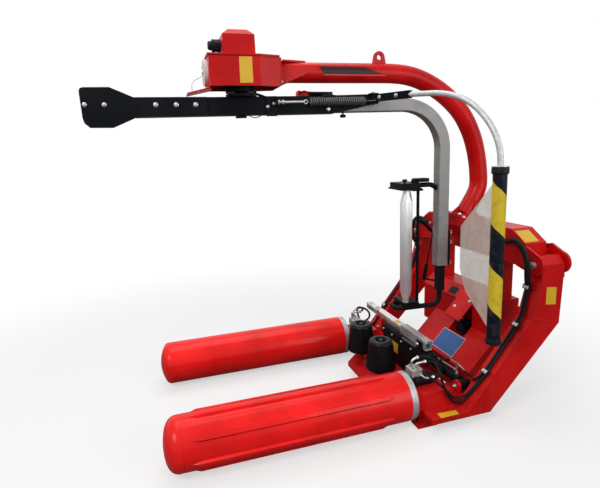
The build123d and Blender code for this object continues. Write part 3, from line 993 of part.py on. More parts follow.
def make_cones_and_cutter():
    """The bale's end stops and the lateral film cutter."""
    with BuildSketch(Plane.XZ) as half_section:
        with BuildLine():
            side = FilletPolyline((0, 0), (CONE_LOW_RADIUS, 0), (CONE_TOP_RADIUS, CONE_HEIGHT),
                                  (CONE_DISH_RADIUS, CONE_HEIGHT), radius=[CONE_HEEL, CONE_SHOULDER])
            Polyline(side @ 1, (CONE_DISH_RADIUS, CONE_HEIGHT - CONE_DISH_DEPTH),
                     (0, CONE_HEIGHT - CONE_DISH_DEPTH), (0, 0))
        make_face()
    cone = revolve(half_section.sketch, axis=Axis.Z)
    cone -= rod((0, 0, 0), (0, 0, CONE_HEIGHT - CONE_STUB_DEPTH), CONE_STUB_RADIUS + RUNNING_CLEARANCE)
    for side, x in (("near", CONE_X), ("far", -CONE_X)):
        node("cone_" + side, Pos(x, CONE_Y, CONE_LOW_Z) * cone)
    pivot_x = CUTTER_NEAR_X - CUTTER_PIVOT_INSET
    half = CUTTER_WIDTH / 2
    inner, outer = half + CUTTER_CHEEK_GAP, half + CUTTER_CHEEK_GAP + PLATE
    body_top = CUTTER_Z - CUTTER_BODY_DROP
    body_low = body_top - CUTTER_BODY_HEIGHT
    near_x = CUTTER_BODY_NEAR_X
    base = plate_xz([(CUTTER_BODY_FAR_X, body_top), (near_x, body_top), (near_x, body_top - CUTTER_BODY_HEIGHT / 2),
                     (CUTTER_FOOT_HALF, body_low), (-CUTTER_FOOT_HALF, body_low)],
                    CUTTER_Y - outer, CUTTER_Y + outer)
    base += block(-CUTTER_FOOT_HALF, CUTTER_FOOT_HALF, CUTTER_Y - inner, CUTTER_Y + inner, TONGUE_TOP_Z, body_low)
    for low, high in ((-outer, -inner), (inner, outer)):
        base += block(pivot_x - CUTTER_CHEEK_HALF, pivot_x + CUTTER_CHEEK_HALF, CUTTER_Y + low, CUTTER_Y + high, body_top,
                      CUTTER_Z + HEAVY_PLATE)
    base += rod((pivot_x, CUTTER_Y - outer - PLATE, CUTTER_Z), (pivot_x, CUTTER_Y + outer + PLATE, CUTTER_Z),
                CUTTER_PIVOT_RADIUS)
    node("cutter_base", base)
    rail_end = CUTTER_BOX_FAR_X + CUTTER_BOX_LAP
    inner_half = half - CUTTER_WALL
    rail_half, box_half = CUTTER_HEIGHT / 2, CUTTER_BOX_HEIGHT / 2
    rail = block(CUTTER_FAR_X, rail_end, CUTTER_Y - half, CUTTER_Y + half, CUTTER_Z - rail_half, CUTTER_Z + rail_half)
    box = block(CUTTER_BOX_FAR_X, CUTTER_NEAR_X, CUTTER_Y - half, CUTTER_Y + half, CUTTER_Z - box_half,
                CUTTER_Z + box_half)
    box -= block(rail_end, CUTTER_NEAR_X, CUTTER_Y - inner_half, CUTTER_Y + inner_half,
                 CUTTER_Z - box_half + CUTTER_WALL, CUTTER_Z + box_half - CUTTER_WALL)
    arm = rail + box
    arm -= block(CUTTER_FAR_X, CUTTER_NEAR_X, CUTTER_Y - inner_half, CUTTER_Y + inner_half,
                 CUTTER_Z - rail_half + CUTTER_WALL, CUTTER_Z + rail_half - CUTTER_WALL)
    arm += rod((pivot_x, CUTTER_Y - half, CUTTER_Z), (pivot_x, CUTTER_Y + half, CUTTER_Z), CUTTER_BUSH_RADIUS)
    arm -= rod((pivot_x, CUTTER_Y - half, CUTTER_Z), (pivot_x, CUTTER_Y + half, CUTTER_Z),
               CUTTER_PIVOT_RADIUS + HINGE_CLEARANCE)
    node("cutter_arm", arm)


def main():
    """Build every sub-part and write its STEP file."""
    make_drums()
    make_roller_arms()
    make_hoses()
    make_cylinder()
    make_girder()
    make_base()
    make_hitch()
    make_boom()
    make_drive_housing()
    make_satellite()
    make_stretcher()
    make_safety_arm()
    make_cones_and_cutter()
    os.makedirs("parts", exist_ok=True)
    for name, shape in NODES.items():
        export_step(shape, "parts/" + name + ".step")
    print(len(NODES), "nodes written")


main()
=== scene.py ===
"""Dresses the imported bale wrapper: finishes for its solids, and the pieces too fine for them."""

import logging
import math
from dataclasses import dataclass
from enum import Enum
from typing import Any, Callable, Iterable, Optional, Sequence, Union

import bmesh
import bpy
from mathutils import Matrix, Vector


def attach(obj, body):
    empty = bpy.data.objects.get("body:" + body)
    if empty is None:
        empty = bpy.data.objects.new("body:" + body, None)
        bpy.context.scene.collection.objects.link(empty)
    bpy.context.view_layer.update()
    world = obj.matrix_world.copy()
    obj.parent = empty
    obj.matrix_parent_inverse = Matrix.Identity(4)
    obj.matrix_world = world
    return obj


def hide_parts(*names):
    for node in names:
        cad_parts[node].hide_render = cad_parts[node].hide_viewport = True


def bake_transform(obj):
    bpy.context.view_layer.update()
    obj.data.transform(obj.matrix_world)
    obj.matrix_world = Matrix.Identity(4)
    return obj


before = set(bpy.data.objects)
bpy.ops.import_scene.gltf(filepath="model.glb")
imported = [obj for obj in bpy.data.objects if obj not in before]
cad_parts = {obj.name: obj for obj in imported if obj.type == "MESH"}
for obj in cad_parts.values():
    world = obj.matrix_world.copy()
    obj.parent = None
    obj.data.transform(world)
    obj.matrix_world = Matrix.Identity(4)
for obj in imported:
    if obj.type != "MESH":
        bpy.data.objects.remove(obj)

logging.basicConfig(level=logging.INFO, format="%(message)s")
LOG = logging.getLogger("wrapper")

Point = Sequence[float]
Colour = tuple[float, float, float]
Pair = tuple[float, float]
Triple = tuple[float, float, float]
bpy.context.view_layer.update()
PARK_ANGLE = math.radians(-3.7)
PARK_TURN = Matrix.Rotation(PARK_ANGLE, 4, "Z")
SIDES = (("near", 1), ("far", -1))
UP, DOWN, AHEAD, BACK = (0, 0, 1), (0, 0, -1), (0, -1, 0), (0, 1, 0)
DUST_COLOUR: Colour = (0.42, 0.36, 0.29)
GRIME_COLOUR: Colour = (0.085, 0.065, 0.05)
BLOOM_COLOUR: Colour = (0.56, 0.56, 0.55)
SMEAR_COLOUR: Colour = (0.06, 0.065, 0.07)
HAZE_COLOUR: Colour = (0.74, 0.72, 0.66)
EASED_FROM = math.radians(35)


def turned(x: float, y: float, z: float) -> Vector:
    """Take a place on the satellite, drawn along +Y, to where it is parked."""
    return Vector((x * math.cos(PARK_ANGLE) - y * math.sin(PARK_ANGLE),
                   x * math.sin(PARK_ANGLE) + y * math.cos(PARK_ANGLE), z))


def parked(points: Iterable[Point]) -> list[Vector]:
    """Take several places on the satellite to where they are parked."""
    return [turned(*point) for point in points]


def sided(sign: int, points: Iterable[Point]) -> list[Vector]:
    """Take places drawn on the near side to the side with this sign."""
    return [Vector((sign * x, y, z)) for x, y, z in points]


def circle(count: int, phase: float = 0.0, closed: bool = False) -> list[Pair]:
    """Even steps round a circle.

    Args:
        count: how many steps.
        phase: angle of the first, in radians.
        closed: whether the first comes again at the end.

    Returns:
        Cosine and sine of each step.
    """
    angles = [phase + 2 * math.pi * index / count for index in range(count + closed)]
    return [(math.cos(angle), math.sin(angle)) for angle in angles]


# ---------------------------------------------------------------- shader maths


def _operator(operation: str, swapped: bool = False) -> Callable[..., "Wire"]:
    """Write a method of Wire that adds one Math node.

    Args:
        operation: the node's operation.
        swapped: whether the other value comes first.

    Returns:
        The method.
    """
    def method(self: "Wire", other: Any = 0.0) -> "Wire":
        """Add the node for this value and another."""
        first, second = (other, self) if swapped else (self, other)
        return self.tree.make("ShaderNodeMath", {"operation": operation}, {0: first, 1: second})

    return method


@dataclass(frozen=True)
class Wire:
    """An output socket whose operators add Math nodes."""

    tree: "ShaderTree"
    socket: Any

    __add__ = __radd__ = _operator("ADD")
    __sub__ = _operator("SUBTRACT")
    __rsub__ = _operator("SUBTRACT", swapped=True)
    __mul__ = __rmul__ = _operator("MULTIPLY")
    __truediv__ = _operator("DIVIDE")
    above = _operator("GREATER_THAN")  # 1 above a level, else 0
    below = _operator("LESS_THAN")  # 1 below a level, else 0
    fraction = _operator("FRACT")  # the part after the point
    size = _operator("ABSOLUTE")  # the value without its sign
    least = _operator("MINIMUM")  # the smaller of two

    def ramp(self, low: float, high: float, to_low: float = 0.0, to_high: float = 1.0) -> "Wire":
        """Carry one range smoothly to another.

        Args:
            low: value that gives to_low.
            high: value that gives to_high.
            to_low: result at and below low.
            to_high: result at and above high.

        Returns:
            The mapped value.
        """
        return self.tree.make("ShaderNodeMapRange", {"interpolation_type": "SMOOTHSTEP"}, {
            "Value": self, "From Min": low, "From Max": high, "To Min": to_low, "To Max": to_high})


class ShaderTree:
    """One material and the nodes made in it."""

    def __init__(self, name: str, material: Optional[bpy.types.Material] = None) -> None:
        """Make an empty material with its Principled shader, or go on with one.

        Args:
            name: the material's name.
            material: one that exists already.
        """
        self.material = material or bpy.data.materials.new(name)
        self.material.name = name
        self.material.use_nodes = True
        self.nodes = self.material.node_tree.nodes
        self.links = self.material.node_tree.links
        self.shader = self.nodes["Principled BSDF"]
        self._place: Optional[Wire] = None

    def make(self, kind: str, settings: Optional[dict] = None, values: Optional[dict] = None,
             output: Union[int, str] = 0) -> Wire:
        """Make a node.

        Args:
            kind: the node's type.
            settings: properties set before the sockets.
            values: numbers, colours or wires by socket name or index.
            output: which output to return.

        Returns:
            That output.
        """
        node = self.nodes.new(kind)
        for key, value in (settings or {}).items():
            setattr(node, key, value)
        for key, value in (values or {}).items():
            self.feed(node.inputs[key], value)
        return Wire(self, node.outputs[output])

    def feed(self, socket: Any, value: Any) -> None:
        """Put a value or a wire into a socket.

        Args:
            socket: the input.
            value: number, colour, vector or Wire.
        """
        if isinstance(value, Wire):
            self.links.new(value.socket, socket)
        elif isinstance(value, (tuple, list, Vector)) and len(value) == 3 and socket.type == "RGBA":
            socket.default_value = (*value, 1.0)
        else:
            socket.default_value = value

    def set(self, **values: Any) -> None:
        """Set or link inputs of the main shader, named with underscores for spaces."""
        for name, value in values.items():
            self.feed(self.shader.inputs[name.replace("_", " ")], value)

    def place(self) -> Wire:
        """Where the surface is, in metres, riding with the object.

        Returns:
            The place.
        """
        if self._place is None:
            self._place = self.make("ShaderNodeTexCoord", output="Object")
        return self._place

    def axes(self, vector: Optional[Wire] = None) -> tuple[Wire, Wire, Wire]:
        """Split a vector, by default the place, into X, Y and Z."""
        split = self.make("ShaderNodeSeparateXYZ", None, {0: vector or self.place()})
        return tuple(Wire(self, output) for output in split.socket.node.outputs)

    def noise(self, scale: float, detail: float = 3.0, roughness: float = 0.5,
              stretch: Optional[Point] = None) -> Wire:
        """A soft noise.

        Args:
            scale: lumps per metre.
            detail: octaves.
            roughness: how strong the fine ones are.
            stretch: scale by axis, for streaks and brushed lines.

        Returns:
            The noise, from 0 to 1.
        """
        place = self.place()
        if stretch:
            place = self.make("ShaderNodeVectorMath", {"operation": "MULTIPLY"}, {0: place, 1: tuple(stretch)})
        return self.make("ShaderNodeTexNoise", None, {
            "Vector": place, "Scale": scale, "Detail": detail, "Roughness": roughness})

    def blend(self, factor: Any, first: Any, second: Any) -> Wire:
        """Mix two colours.

        Args:
            factor: 0 gives the first, 1 the second.
            first: colour or wire.
            second: colour or wire.

        Returns:
            The mixed colour.
        """
        return self.make("ShaderNodeMix", {"data_type": "RGBA"}, {0: factor, 6: first, 7: second}, output=2)

    def bump(self, height: Wire, strength: float, distance: float, rounding: float = 0.0) -> None:
        """Feed Normal from a height.

        Args:
            height: the height, about 0 to 1.
            strength: of the bump.
            distance: in metres.
            rounding: radius of softened edges, in metres.
        """
        values = {"Height": height, "Strength": strength, "Distance": distance}
        if rounding:
            values["Normal"] = self.make("ShaderNodeBevel", {"samples": 4}, {"Radius": rounding})
        self.set(Normal=self.make("ShaderNodeBump", None, values))


# ---------------------------------------------------------------- finishes


def scaled(colour: Colour, factor: float, lift: float = 0.0) -> Colour:
    """Make a colour lighter or darker.

    Args:
        colour: the colour.
        factor: what every channel is multiplied by.
        lift: what is added to it.

    Returns:
        The new colour.
    """
    return tuple(min(1.0, factor * channel + lift) for channel in colour)


@dataclass(frozen=True)
class Enamel:
    """Sprayed enamel with faint mottling, orange peel, dust on level faces and grime low down."""

    name: str
    colour: Colour
    roughness: float = 0.3
    dust: float = 0.07
    grime: float = 0.20
    coat: float = 0.06
    shine: float = 0.14
    rounding: float = 0.0025

    def make(self) -> bpy.types.Material:
        """Build the material.

        Returns:
            The material.
        """
        tree = ShaderTree(self.name)
        mottled = tree.noise(3.0, 4.0).ramp(0.3, 0.72)
        base = tree.blend(mottled, scaled(self.colour, 0.78), scaled(self.colour, 1.10, 0.004))
        up = tree.axes(tree.make("ShaderNodeNewGeometry", output="Normal"))[2]
        dusty = up.ramp(0.35, 1.0) * tree.noise(46.0, 6.0, 0.7).ramp(0.46, 0.72) * self.dust
        base = tree.blend(dusty, base, DUST_COLOUR)
        streaks = tree.noise(1.0, 5.0, 0.6, (26.0, 26.0, 3.0)).ramp(0.42, 0.68)
        low = tree.axes()[2].ramp(0.55, 0.0) * streaks * self.grime
        tree.set(Base_Color=tree.blend(low, base, GRIME_COLOUR),
                 Roughness=self.roughness + tree.noise(14.0, 4.0) * 0.14 + dusty * 0.6 + low * 0.5,
                 Coat_Weight=self.coat - (low + dusty).least(1.0) * self.coat,
                 Coat_Roughness=0.09, Specular_IOR_Level=self.shine)
        tree.bump(tree.noise(210.0, 2.0) * 0.5 + tree.noise(5.0, 2.0), 0.22, 0.0006, self.rounding)
        return tree.material


@dataclass(frozen=True)
class Metal:
    """Bare or plated metal, with grain along one axis and dull patches."""

    name: str
    colour: Colour
    roughness: float
    grain: Colour
    grain_depth: float
    tarnish: float
    metallic: float = 1.0
    rounding: float = 0.0015

    def make(self) -> bpy.types.Material:
        """Build the material.

        Returns:
            The material.
        """
        tree = ShaderTree(self.name)
        grain = tree.noise(1.0, 5.0, 0.65, self.grain)
        dull = tree.noise(9.0, 5.0, 0.6).ramp(0.45, 0.75) * self.tarnish
        bright = tree.blend(grain.ramp(0.3, 0.7), scaled(self.colour, 0.86), self.colour)
        tree.set(Base_Color=tree.blend(dull, bright, scaled(self.colour, 0.55)),
                 Roughness=self.roughness + grain * 0.16 + dull * 0.35,
                 Metallic=self.metallic - dull * 0.45)
        tree.bump(grain, self.grain_depth, 0.0004, self.rounding)
        return tree.material


@dataclass(frozen=True)
class Galvanised:
    """Dull zinc with its spangle and white bloom."""

    name: str
    colour: Colour = (0.43, 0.44, 0.45)
    metallic: float = 0.62
    cells: float = 90.0
    spread: float = 0.10

    def make(self) -> bpy.types.Material:
        """Build the material.

        Returns:
            The material.
        """
        tree = ShaderTree(self.name)
        cells = tree.make("ShaderNodeTexVoronoi", {"feature": "F1"}, {
            "Vector": tree.place(), "Scale": self.cells}, output="Color")
        spangle = tree.axes(cells)[0]
        bloom = tree.noise(7.0, 6.0, 0.65).ramp(0.48, 0.78)
        base = tree.blend(spangle.ramp(0.1, 0.9), scaled(self.colour, 1 - self.spread),
                          scaled(self.colour, 1 + self.spread))
        tree.set(Base_Color=tree.blend(bloom * 0.2, base, BLOOM_COLOUR),
                 Metallic=self.metallic - bloom * 0.3,
                 Roughness=0.42 + spangle * 0.12 + bloom * 0.18)
        tree.bump(spangle * 0.5 + tree.noise(120.0, 3.0), 0.12, 0.0004, 0.0015)
        return tree.material


@dataclass(frozen=True)
class Moulded:
    """Rubber or plastic with a fine grain, scuffs and pale dust."""

    name: str
    colour: Colour
    roughness: float
    grain: float
    depth: float
    scuff: float

    def make(self) -> bpy.types.Material:
        """Build the material.

        Returns:
            The material.
        """
        tree = ShaderTree(self.name)
        scuffs = tree.noise(1.0, 6.0, 0.7, (38.0, 38.0, 12.0)).ramp(0.52, 0.78) * self.scuff
        tree.set(Base_Color=tree.blend(scuffs, self.colour, scaled(self.colour, 1.5, 0.035)),
                 Roughness=self.roughness + scuffs * 0.5 + tree.noise(30.0, 3.0) * 0.1,
                 Specular_IOR_Level=0.14)
        tree.bump(tree.noise(self.grain, 2.0), self.depth, 0.0005, 0.0015)
        return tree.material


@dataclass(frozen=True)
class HelicalStripes:
    """Yellow foam with dark tape wound round it at a slant."""

    name: str
    centre: Pair
    pitch: float = 0.496
    share: float = 0.5
    rise: float = 0.1135
    start: float = 1.134
    yellow: Colour = (0.66, 0.49, 0.038)
    dark: Colour = (0.0045, 0.0065, 0.012)

    def make(self) -> bpy.types.Material:
        """Build the material.

        Returns:
            The material.
        """
        tree = ShaderTree(self.name)
        x, y, z = tree.axes()
        angle = tree.make("ShaderNodeMath", {"operation": "ARCTAN2"}, {
            0: y - self.centre[1], 1: x - self.centre[0]}) / (2 * math.pi)
        wavy = tree.noise(20.0, 3.0) * 0.012
        turns = (z + angle * self.rise * 2 + wavy - self.start) / self.pitch
        band = turns.fraction().below(self.share)
        smudge = tree.noise(24.0, 6.0, 0.65).ramp(0.45, 0.75)
        yellow = tree.blend(smudge * 0.6, self.yellow, scaled(self.yellow, 0.45))
        dark = tree.blend(smudge * 0.5, self.dark, SMEAR_COLOUR)
        tree.set(Base_Color=tree.blend(band, yellow, dark), Roughness=0.62 - band * 0.2 + smudge * 0.15,
                 Specular_IOR_Level=0.10)
        tree.bump(band * 0.6 + tree.noise(160.0, 3.0) * 0.5, 0.35, 0.0012)
        return tree.material


@dataclass(frozen=True)
class MilkySheet:
    """A flexible see-through sheet, hazy with scratches."""

    name: str
    colour: Colour = (0.62, 0.59, 0.53)

    def make(self) -> bpy.types.Material:
        """Build the material.

        Returns:
            The material.
        """
        tree = ShaderTree(self.name)
        haze = tree.noise(8.0, 5.0, 0.6).ramp(0.3, 0.75)
        scratches = tree.noise(1.0, 6.0, 0.7, (20.0, 20.0, 180.0)).ramp(0.55, 0.75)
        tree.set(Base_Color=tree.blend(haze * 0.5, self.colour, HAZE_COLOUR),
                 Roughness=0.2 + haze * 0.2 + scratches * 0.2,
                 Alpha=0.5 + haze * 0.16 + scratches * 0.1, Specular_IOR_Level=0.5)
        tree.bump(tree.noise(4.0, 3.0) + scratches * 0.1, 0.3, 0.003)
        return tree.material


@dataclass(frozen=True)
class Label:
    """A blank label with fine scratches."""

    name: str
    colour: Colour

    def make(self) -> bpy.types.Material:
        """Build the material.

        Returns:
            The material.
        """
        tree = ShaderTree(self.name)
        worn = tree.noise(60.0, 6.0, 0.7).ramp(0.6, 0.8)
        faded = tree.noise(12.0, 3.0).ramp(0.3, 0.8)
        base = tree.blend(faded * 0.35, self.colour, scaled(self.colour, 0.72))
        tree.set(Base_Color=tree.blend(worn * 0.5, base, scaled(self.colour, 0.4, 0.1)),
                 Roughness=0.34 + worn * 0.25 + faded * 0.08)
        tree.bump(worn, 0.2, 0.0002)
        return tree.material


@dataclass(frozen=True)
class BoomEnamel:
    """The boom's red, with one plain dark stripe along each side and a thin line under it."""

    name: str
    base: Enamel
    low: float = 2.424
    high: float = 2.473
    start: float = 0.559
    end: float = 0.963
    start_slant: float = 0.65
    end_slant: float = 3.0
    line_drop: float = 0.010
    line_width: float = 0.004
    clear_half: float = 0.03
    dark: Colour = (0.030, 0.012, 0.014)
    pale: Colour = (0.42, 0.36, 0.35)

    def make(self) -> bpy.types.Material:
        """Build the material.

        Returns:
            The material.
        """
        tree = ShaderTree(self.name, self.base.make())
        x, y, z = tree.axes()
        lift = z - 0.5 * (self.low + self.high)
        along = (y + lift * self.start_slant).above(self.start) * (y + lift * self.end_slant).below(self.end)
        along = along * x.size().above(self.clear_half)
        line_low = self.low - self.line_drop
        line = along * z.above(line_low) * z.below(line_low + self.line_width)
        stripe = along * z.above(self.low) * z.below(self.high)
        plain = Wire(tree, tree.shader.inputs["Base Color"].links[0].from_socket)
        tree.set(Base_Color=tree.blend(line * 0.7, tree.blend(stripe, plain, self.dark), self.pale))
        return tree.material


class Finish(Enum):
    """The finishes, each made once, with the slot that each belongs to."""

    RED = Enamel("red_enamel", (0.600, 0.0022, 0.0030)), "red_paint"
    # The drums' red is the frame's red paint, made lighter here as painted light for the sky that the drums reflect.
    DRUM_RED = Enamel("drum_enamel_painted_lighter", (0.860, 0.0060, 0.0050), 0.28, 0.03, 0.08, 0.14), "red_paint"
    BOOM_RED = BoomEnamel("boom_enamel", Enamel("boom_base", (0.600, 0.0022, 0.0030))), "red_paint"
    BLACK = Enamel("black_enamel", (0.0045, 0.0055, 0.0080), 0.34, 0.04, 0.10, 0.0, 0.05), "black_paint"
    ZINC = Galvanised("dull_zinc"), "galvanised_steel"
    TUBE_ZINC = Galvanised("zinc_tube", (0.215, 0.210, 0.203), 0.5), "galvanised_steel"
    BAR_ZINC = Galvanised("zinc_bar", (0.52, 0.53, 0.53), 0.45), "galvanised_steel"
    ALUMINIUM = Metal("ribbed_aluminium", (0.74, 0.75, 0.76), 0.36, (160.0, 160.0, 6.0), 0.2, 0.25), "aluminium"
    CAST = Metal("cast_aluminium", (0.52, 0.52, 0.51), 0.46, (70.0, 70.0, 70.0), 0.5, 0.35, 0.85), "aluminium"
    STEEL = Metal("plated_steel", (0.58, 0.57, 0.54), 0.3, (90.0, 90.0, 90.0), 0.15, 0.3), "galvanised_steel"
    CHROME = Metal("ground_chrome", (0.74, 0.74, 0.75), 0.1, (8.0, 150.0, 150.0), 0.05, 0.1), "chromed_rod"
    SPRING = Metal("oiled_steel", (0.11, 0.11, 0.115), 0.35, (90.0, 90.0, 90.0), 0.2, 0.4, 0.7), "black_paint"
    RUBBER = Moulded("hose_rubber", (0.006, 0.0065, 0.008), 0.42, 300.0, 0.3, 0.16), "black_rubber"
    CONE = Moulded("cone_plastic", (0.0045, 0.0050, 0.0065), 0.26, 180.0, 0.12, 0.10), "black_rubber"
    BLACK_PLASTIC = Moulded("black_plastic", (0.006, 0.0065, 0.009), 0.45, 260.0, 0.25, 0.12), "black_rubber"
    PALE = Moulded("pale_plastic", (0.62, 0.60, 0.56), 0.45, 120.0, 0.2, 0.4), "pale_plastic"
    SLEEVE = HelicalStripes("striped_foam", tuple(turned(0.934, 1.345, 0.0)[:2])), "striped_sleeve"
    SHEET = MilkySheet("milky_sheet"), "clear_sheet"
    SIGN = Label("yellow_label", (0.72, 0.42, 0.015)), "pale_plastic"
    BLUE = Label("blue_label", (0.010, 0.085, 0.30)), "pale_plastic"
    PALE_SIGN = Label("pale_label", (0.55, 0.54, 0.52)), "pale_plastic"
    WHITE_SIGN = Label("grey_label", (0.34, 0.33, 0.32)), "pale_plastic"

    @property
    def slot(self) -> str:
        """The slot that the finish fills."""
        return self.value[1]

    def material(self) -> bpy.types.Material:
        """The finish's material, made when first asked for."""
        return bpy.data.materials.get(self.value[0].name) or self.value[0].make()


def dress(finish: Finish, *nodes: str) -> None:
    """Give carried-over solids a finish.

    Args:
        finish: the finish.
        nodes: names of the solids.
    """
    for name in nodes:
        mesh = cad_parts[name].data
        mesh.materials.clear()
        mesh.materials.append(finish.material())


# ---------------------------------------------------------------- mesh tools


class Shape:
    """A mesh that grows piece by piece, in metres, in the shared frame."""

    def __init__(self, name: str) -> None:
        """Start an empty mesh.

        Args:
            name: the piece's name.
        """
        self.name = name
        self.mesh = bmesh.new()

    def skin(self, rings: Sequence[Sequence[Point]], capped: bool = True, closed: bool = False) -> "Shape":
        """Faces between rings of places; a ring of one place closes an end.

        Args:
            rings: the rings, in order.
            capped: whether the first and last ring are filled.
            closed: whether the last ring joins the first.

        Returns:
            This shape.
        """
        made = [[self.mesh.verts.new(point) for point in ring] for ring in rings]
        count = max(len(ring) for ring in made)
        for low, high in zip(made, made[1:] + made[:1] if closed else made[1:]):
            for step in range(count):
                after = (step + 1) % count
                corners = [low[step % len(low)], low[after % len(low)], high[after % len(high)],
                           high[step % len(high)]]
                unique = list(dict.fromkeys(corners))
                if len(unique) > 2:
                    self.mesh.faces.new(unique)
        if capped:
            self.mesh.faces.new(list(reversed(made[0])))
            self.mesh.faces.new(made[-1])
        return self

    def turned_profile(self, start: Point, direction: Point, profile: Sequence[Pair], steps: int = 32,
                       phase: float = 0.0) -> "Shape":
        """Spin a profile about an axis.

        Args:
            start: where the axis begins.
            direction: along the axis.
            profile: pairs of distance along the axis and radius; radius 0 closes an end.
            steps: facets round the axis.
            phase: turn of the first facet, in radians.

        Returns:
            This shape.
        """
        turn = Vector(direction).normalized().to_track_quat("Z", "Y").to_matrix().to_4x4()
        matrix = Matrix.Translation(start) @ turn
        return self.skin([[matrix @ Vector((radius * c, radius * s, along)) for c, s in circle(steps, phase)]
                          if radius else [matrix @ Vector((0, 0, along))] for along, radius in profile], False)

    def bar(self, start: Point, end: Point, radius: float, steps: int = 24) -> "Shape":
        """A round bar with eased ends.

        Args:
            start: centre of one end.
            end: centre of the other.
            radius: of the bar.
            steps: facets round it.

        Returns:
            This shape.
        """
        first, last = Vector(start), Vector(end)
        length = (last - first).length
        edge = min(0.0008, radius * 0.4, length * 0.3)
        return self.turned_profile(first, last - first, [
            (0, 0), (0, radius - edge), (edge, radius), (length - edge, radius), (length, radius - edge),
            (length, 0)], steps)

    def hexagon(self, start: Point, direction: Point, radius: float, height: float) -> "Shape":
        """A bolt head on its washer.

        Args:
            start: where it sits.
            direction: away from the surface.
            radius: half the width over corners.
            height: of the head.

        Returns:
            This shape.
        """
        aim = Vector(direction).normalized()
        washer, thick = radius * 1.35, height * 0.28
        self.turned_profile(start, aim, [
            (0, washer), (thick * 0.8, washer), (thick, washer * 0.94), (thick, 0)], 20)
        self.turned_profile(Vector(start) + aim * thick, aim, [
            (0, radius), (height * 0.78, radius), (height, radius * 0.84), (height, 0)], 6, 0.3)
        return self.turned_profile(Vector(start) + aim * (thick + height * 0.9), aim, [
            (0, radius * 0.42), (height * 0.3, radius * 0.4), (height * 0.34, 0)], 12)

    def panel(self, corners: Sequence[Point], thickness: float) -> "Shape":
        """A flat polygon with a thickness, grown against its corners' turning sense.

        Args:
            corners: the outer face, anticlockwise from outside.
            thickness: how far it reaches inwards.

        Returns:
            This shape.
        """
        points = [Vector(corner) for corner in corners]
        normal = Vector((0, 0, 0))
        for index, point in enumerate(points):
            normal += point.cross(points[(index + 1) % len(points)])
        normal.normalize()
        return self.skin([[point - normal * thickness for point in points], points])

    def brick(self, low: Point, high: Point, turn: Optional[Matrix] = None) -> "Shape":
        """A box between two corners, turned by a matrix if one is given.

        Args:
            low: lowest corner.
            high: highest corner.
            turn: applied to every corner.

        Returns:
            This shape.
        """
        (x0, y0, z0), (x1, y1, z1) = low, high
        corners = [Vector(c) for c in ((x0, y0, z1), (x1, y0, z1), (x1, y1, z1), (x0, y1, z1))]
        return self.panel([turn @ corner for corner in corners] if turn else corners, z1 - z0)

    def pipe(self, points: Sequence[Point], radius: Union[float, Callable[[float], float]],
             steps: int = 12) -> "Shape":
        """A round section carried along points.

        Args:
            points: the middle line.
            radius: of the section, or a function of the share of the length.
            steps: facets round it.

        Returns:
            This shape.
        """
        line = [Vector(point) for point in points]
        lengths = [0.0]
        for low, high in zip(line, line[1:]):
            lengths.append(lengths[-1] + (high - low).length)
        side: Optional[Vector] = None
        rings = []
        for index, point in enumerate(line):
            tangent = (line[min(index + 1, len(line) - 1)] - line[max(index - 1, 0)]).normalized()
            if side is None:
                reference = Vector((0, 0, 1)) if abs(tangent.z) < 0.9 else Vector((1, 0, 0))
                side = tangent.cross(reference).normalized()
            side = (side - tangent * side.dot(tangent)).normalized()
            up = tangent.cross(side)
            size = radius(lengths[index] / lengths[-1]) if callable(radius) else radius
            rings.append([point + side * (size * c) + up * (size * s) for c, s in circle(steps)])
        return self.skin(rings)

    def hose(self, points: Sequence[Point], radius: float, steps: int = 12, resolution: int = 8) -> "Shape":
        """A pipe along the smooth line that control points lead.

        Args:
            points: the control points.
            radius: of the hose.
            steps: facets round it.
            resolution: points for each span.

        Returns:
            This shape.
        """
        return self.pipe(smooth_line(points, resolution), radius, steps)

    def done(self, finish: Finish, body: str, bevel: float = 0.0, smooth: float = 40.0,
             replaces: str = "") -> bpy.types.Object:
        """Close the mesh, finish it and let it ride.

        Args:
            finish: its material.
            body: the body it moves with.
            bevel: width of eased edges, in metres.
            smooth: faces that meet under this angle shade smoothly, in degrees.
            replaces: solid that it stands for.

        Returns:
            The object.
        """
        bmesh.ops.recalc_face_normals(self.mesh, faces=self.mesh.faces)
        data = bpy.data.meshes.new(self.name)
        self.mesh.to_mesh(data)
        self.mesh.free()
        piece = bpy.data.objects.new(self.name, data)
        bpy.context.scene.collection.objects.link(piece)
        data.materials.append(finish.material())
        if bevel:
            modifier = piece.modifiers.new("eased", "BEVEL")
            modifier.width, modifier.segments, modifier.limit_method = bevel, 2, "ANGLE"
            modifier.angle_limit = EASED_FROM
            modifier.harden_normals = False
        for polygon in data.polygons:
            polygon.use_smooth = True
        data.set_sharp_from_angle(angle=math.radians(smooth))
        if replaces:
            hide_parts(replaces)
        if body:
            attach(piece, body)
        LOG.info("%s: %d faces on %s", self.name, len(data.polygons), body or "no body of its own")
        return piece


def smooth_line(points: Sequence[Point], resolution: int = 8) -> list[Vector]:
    """Points along a smooth line that is led by control points.

    Args:
        points: the control points, in metres.
        resolution: points for each span.

    Returns:
        The points.
    """
    curve = bpy.data.curves.new("line", "CURVE")
    curve.dimensions = "3D"
    spline = curve.splines.new("NURBS")
    spline.points.add(len(points) - 1)
    for point, place in zip(spline.points, points):
        point.co = (*place, 1.0)
    spline.order_u = 3
    spline.use_endpoint_u = True
    spline.resolution_u = resolution
    holder = bpy.data.objects.new("line", curve)
    mesh = bpy.data.meshes.new_from_object(holder)
    line = [vertex.co.copy() for vertex in mesh.vertices]
    bpy.data.objects.remove(holder)
    bpy.data.curves.remove(curve)
    bpy.data.meshes.remove(mesh)
    return line


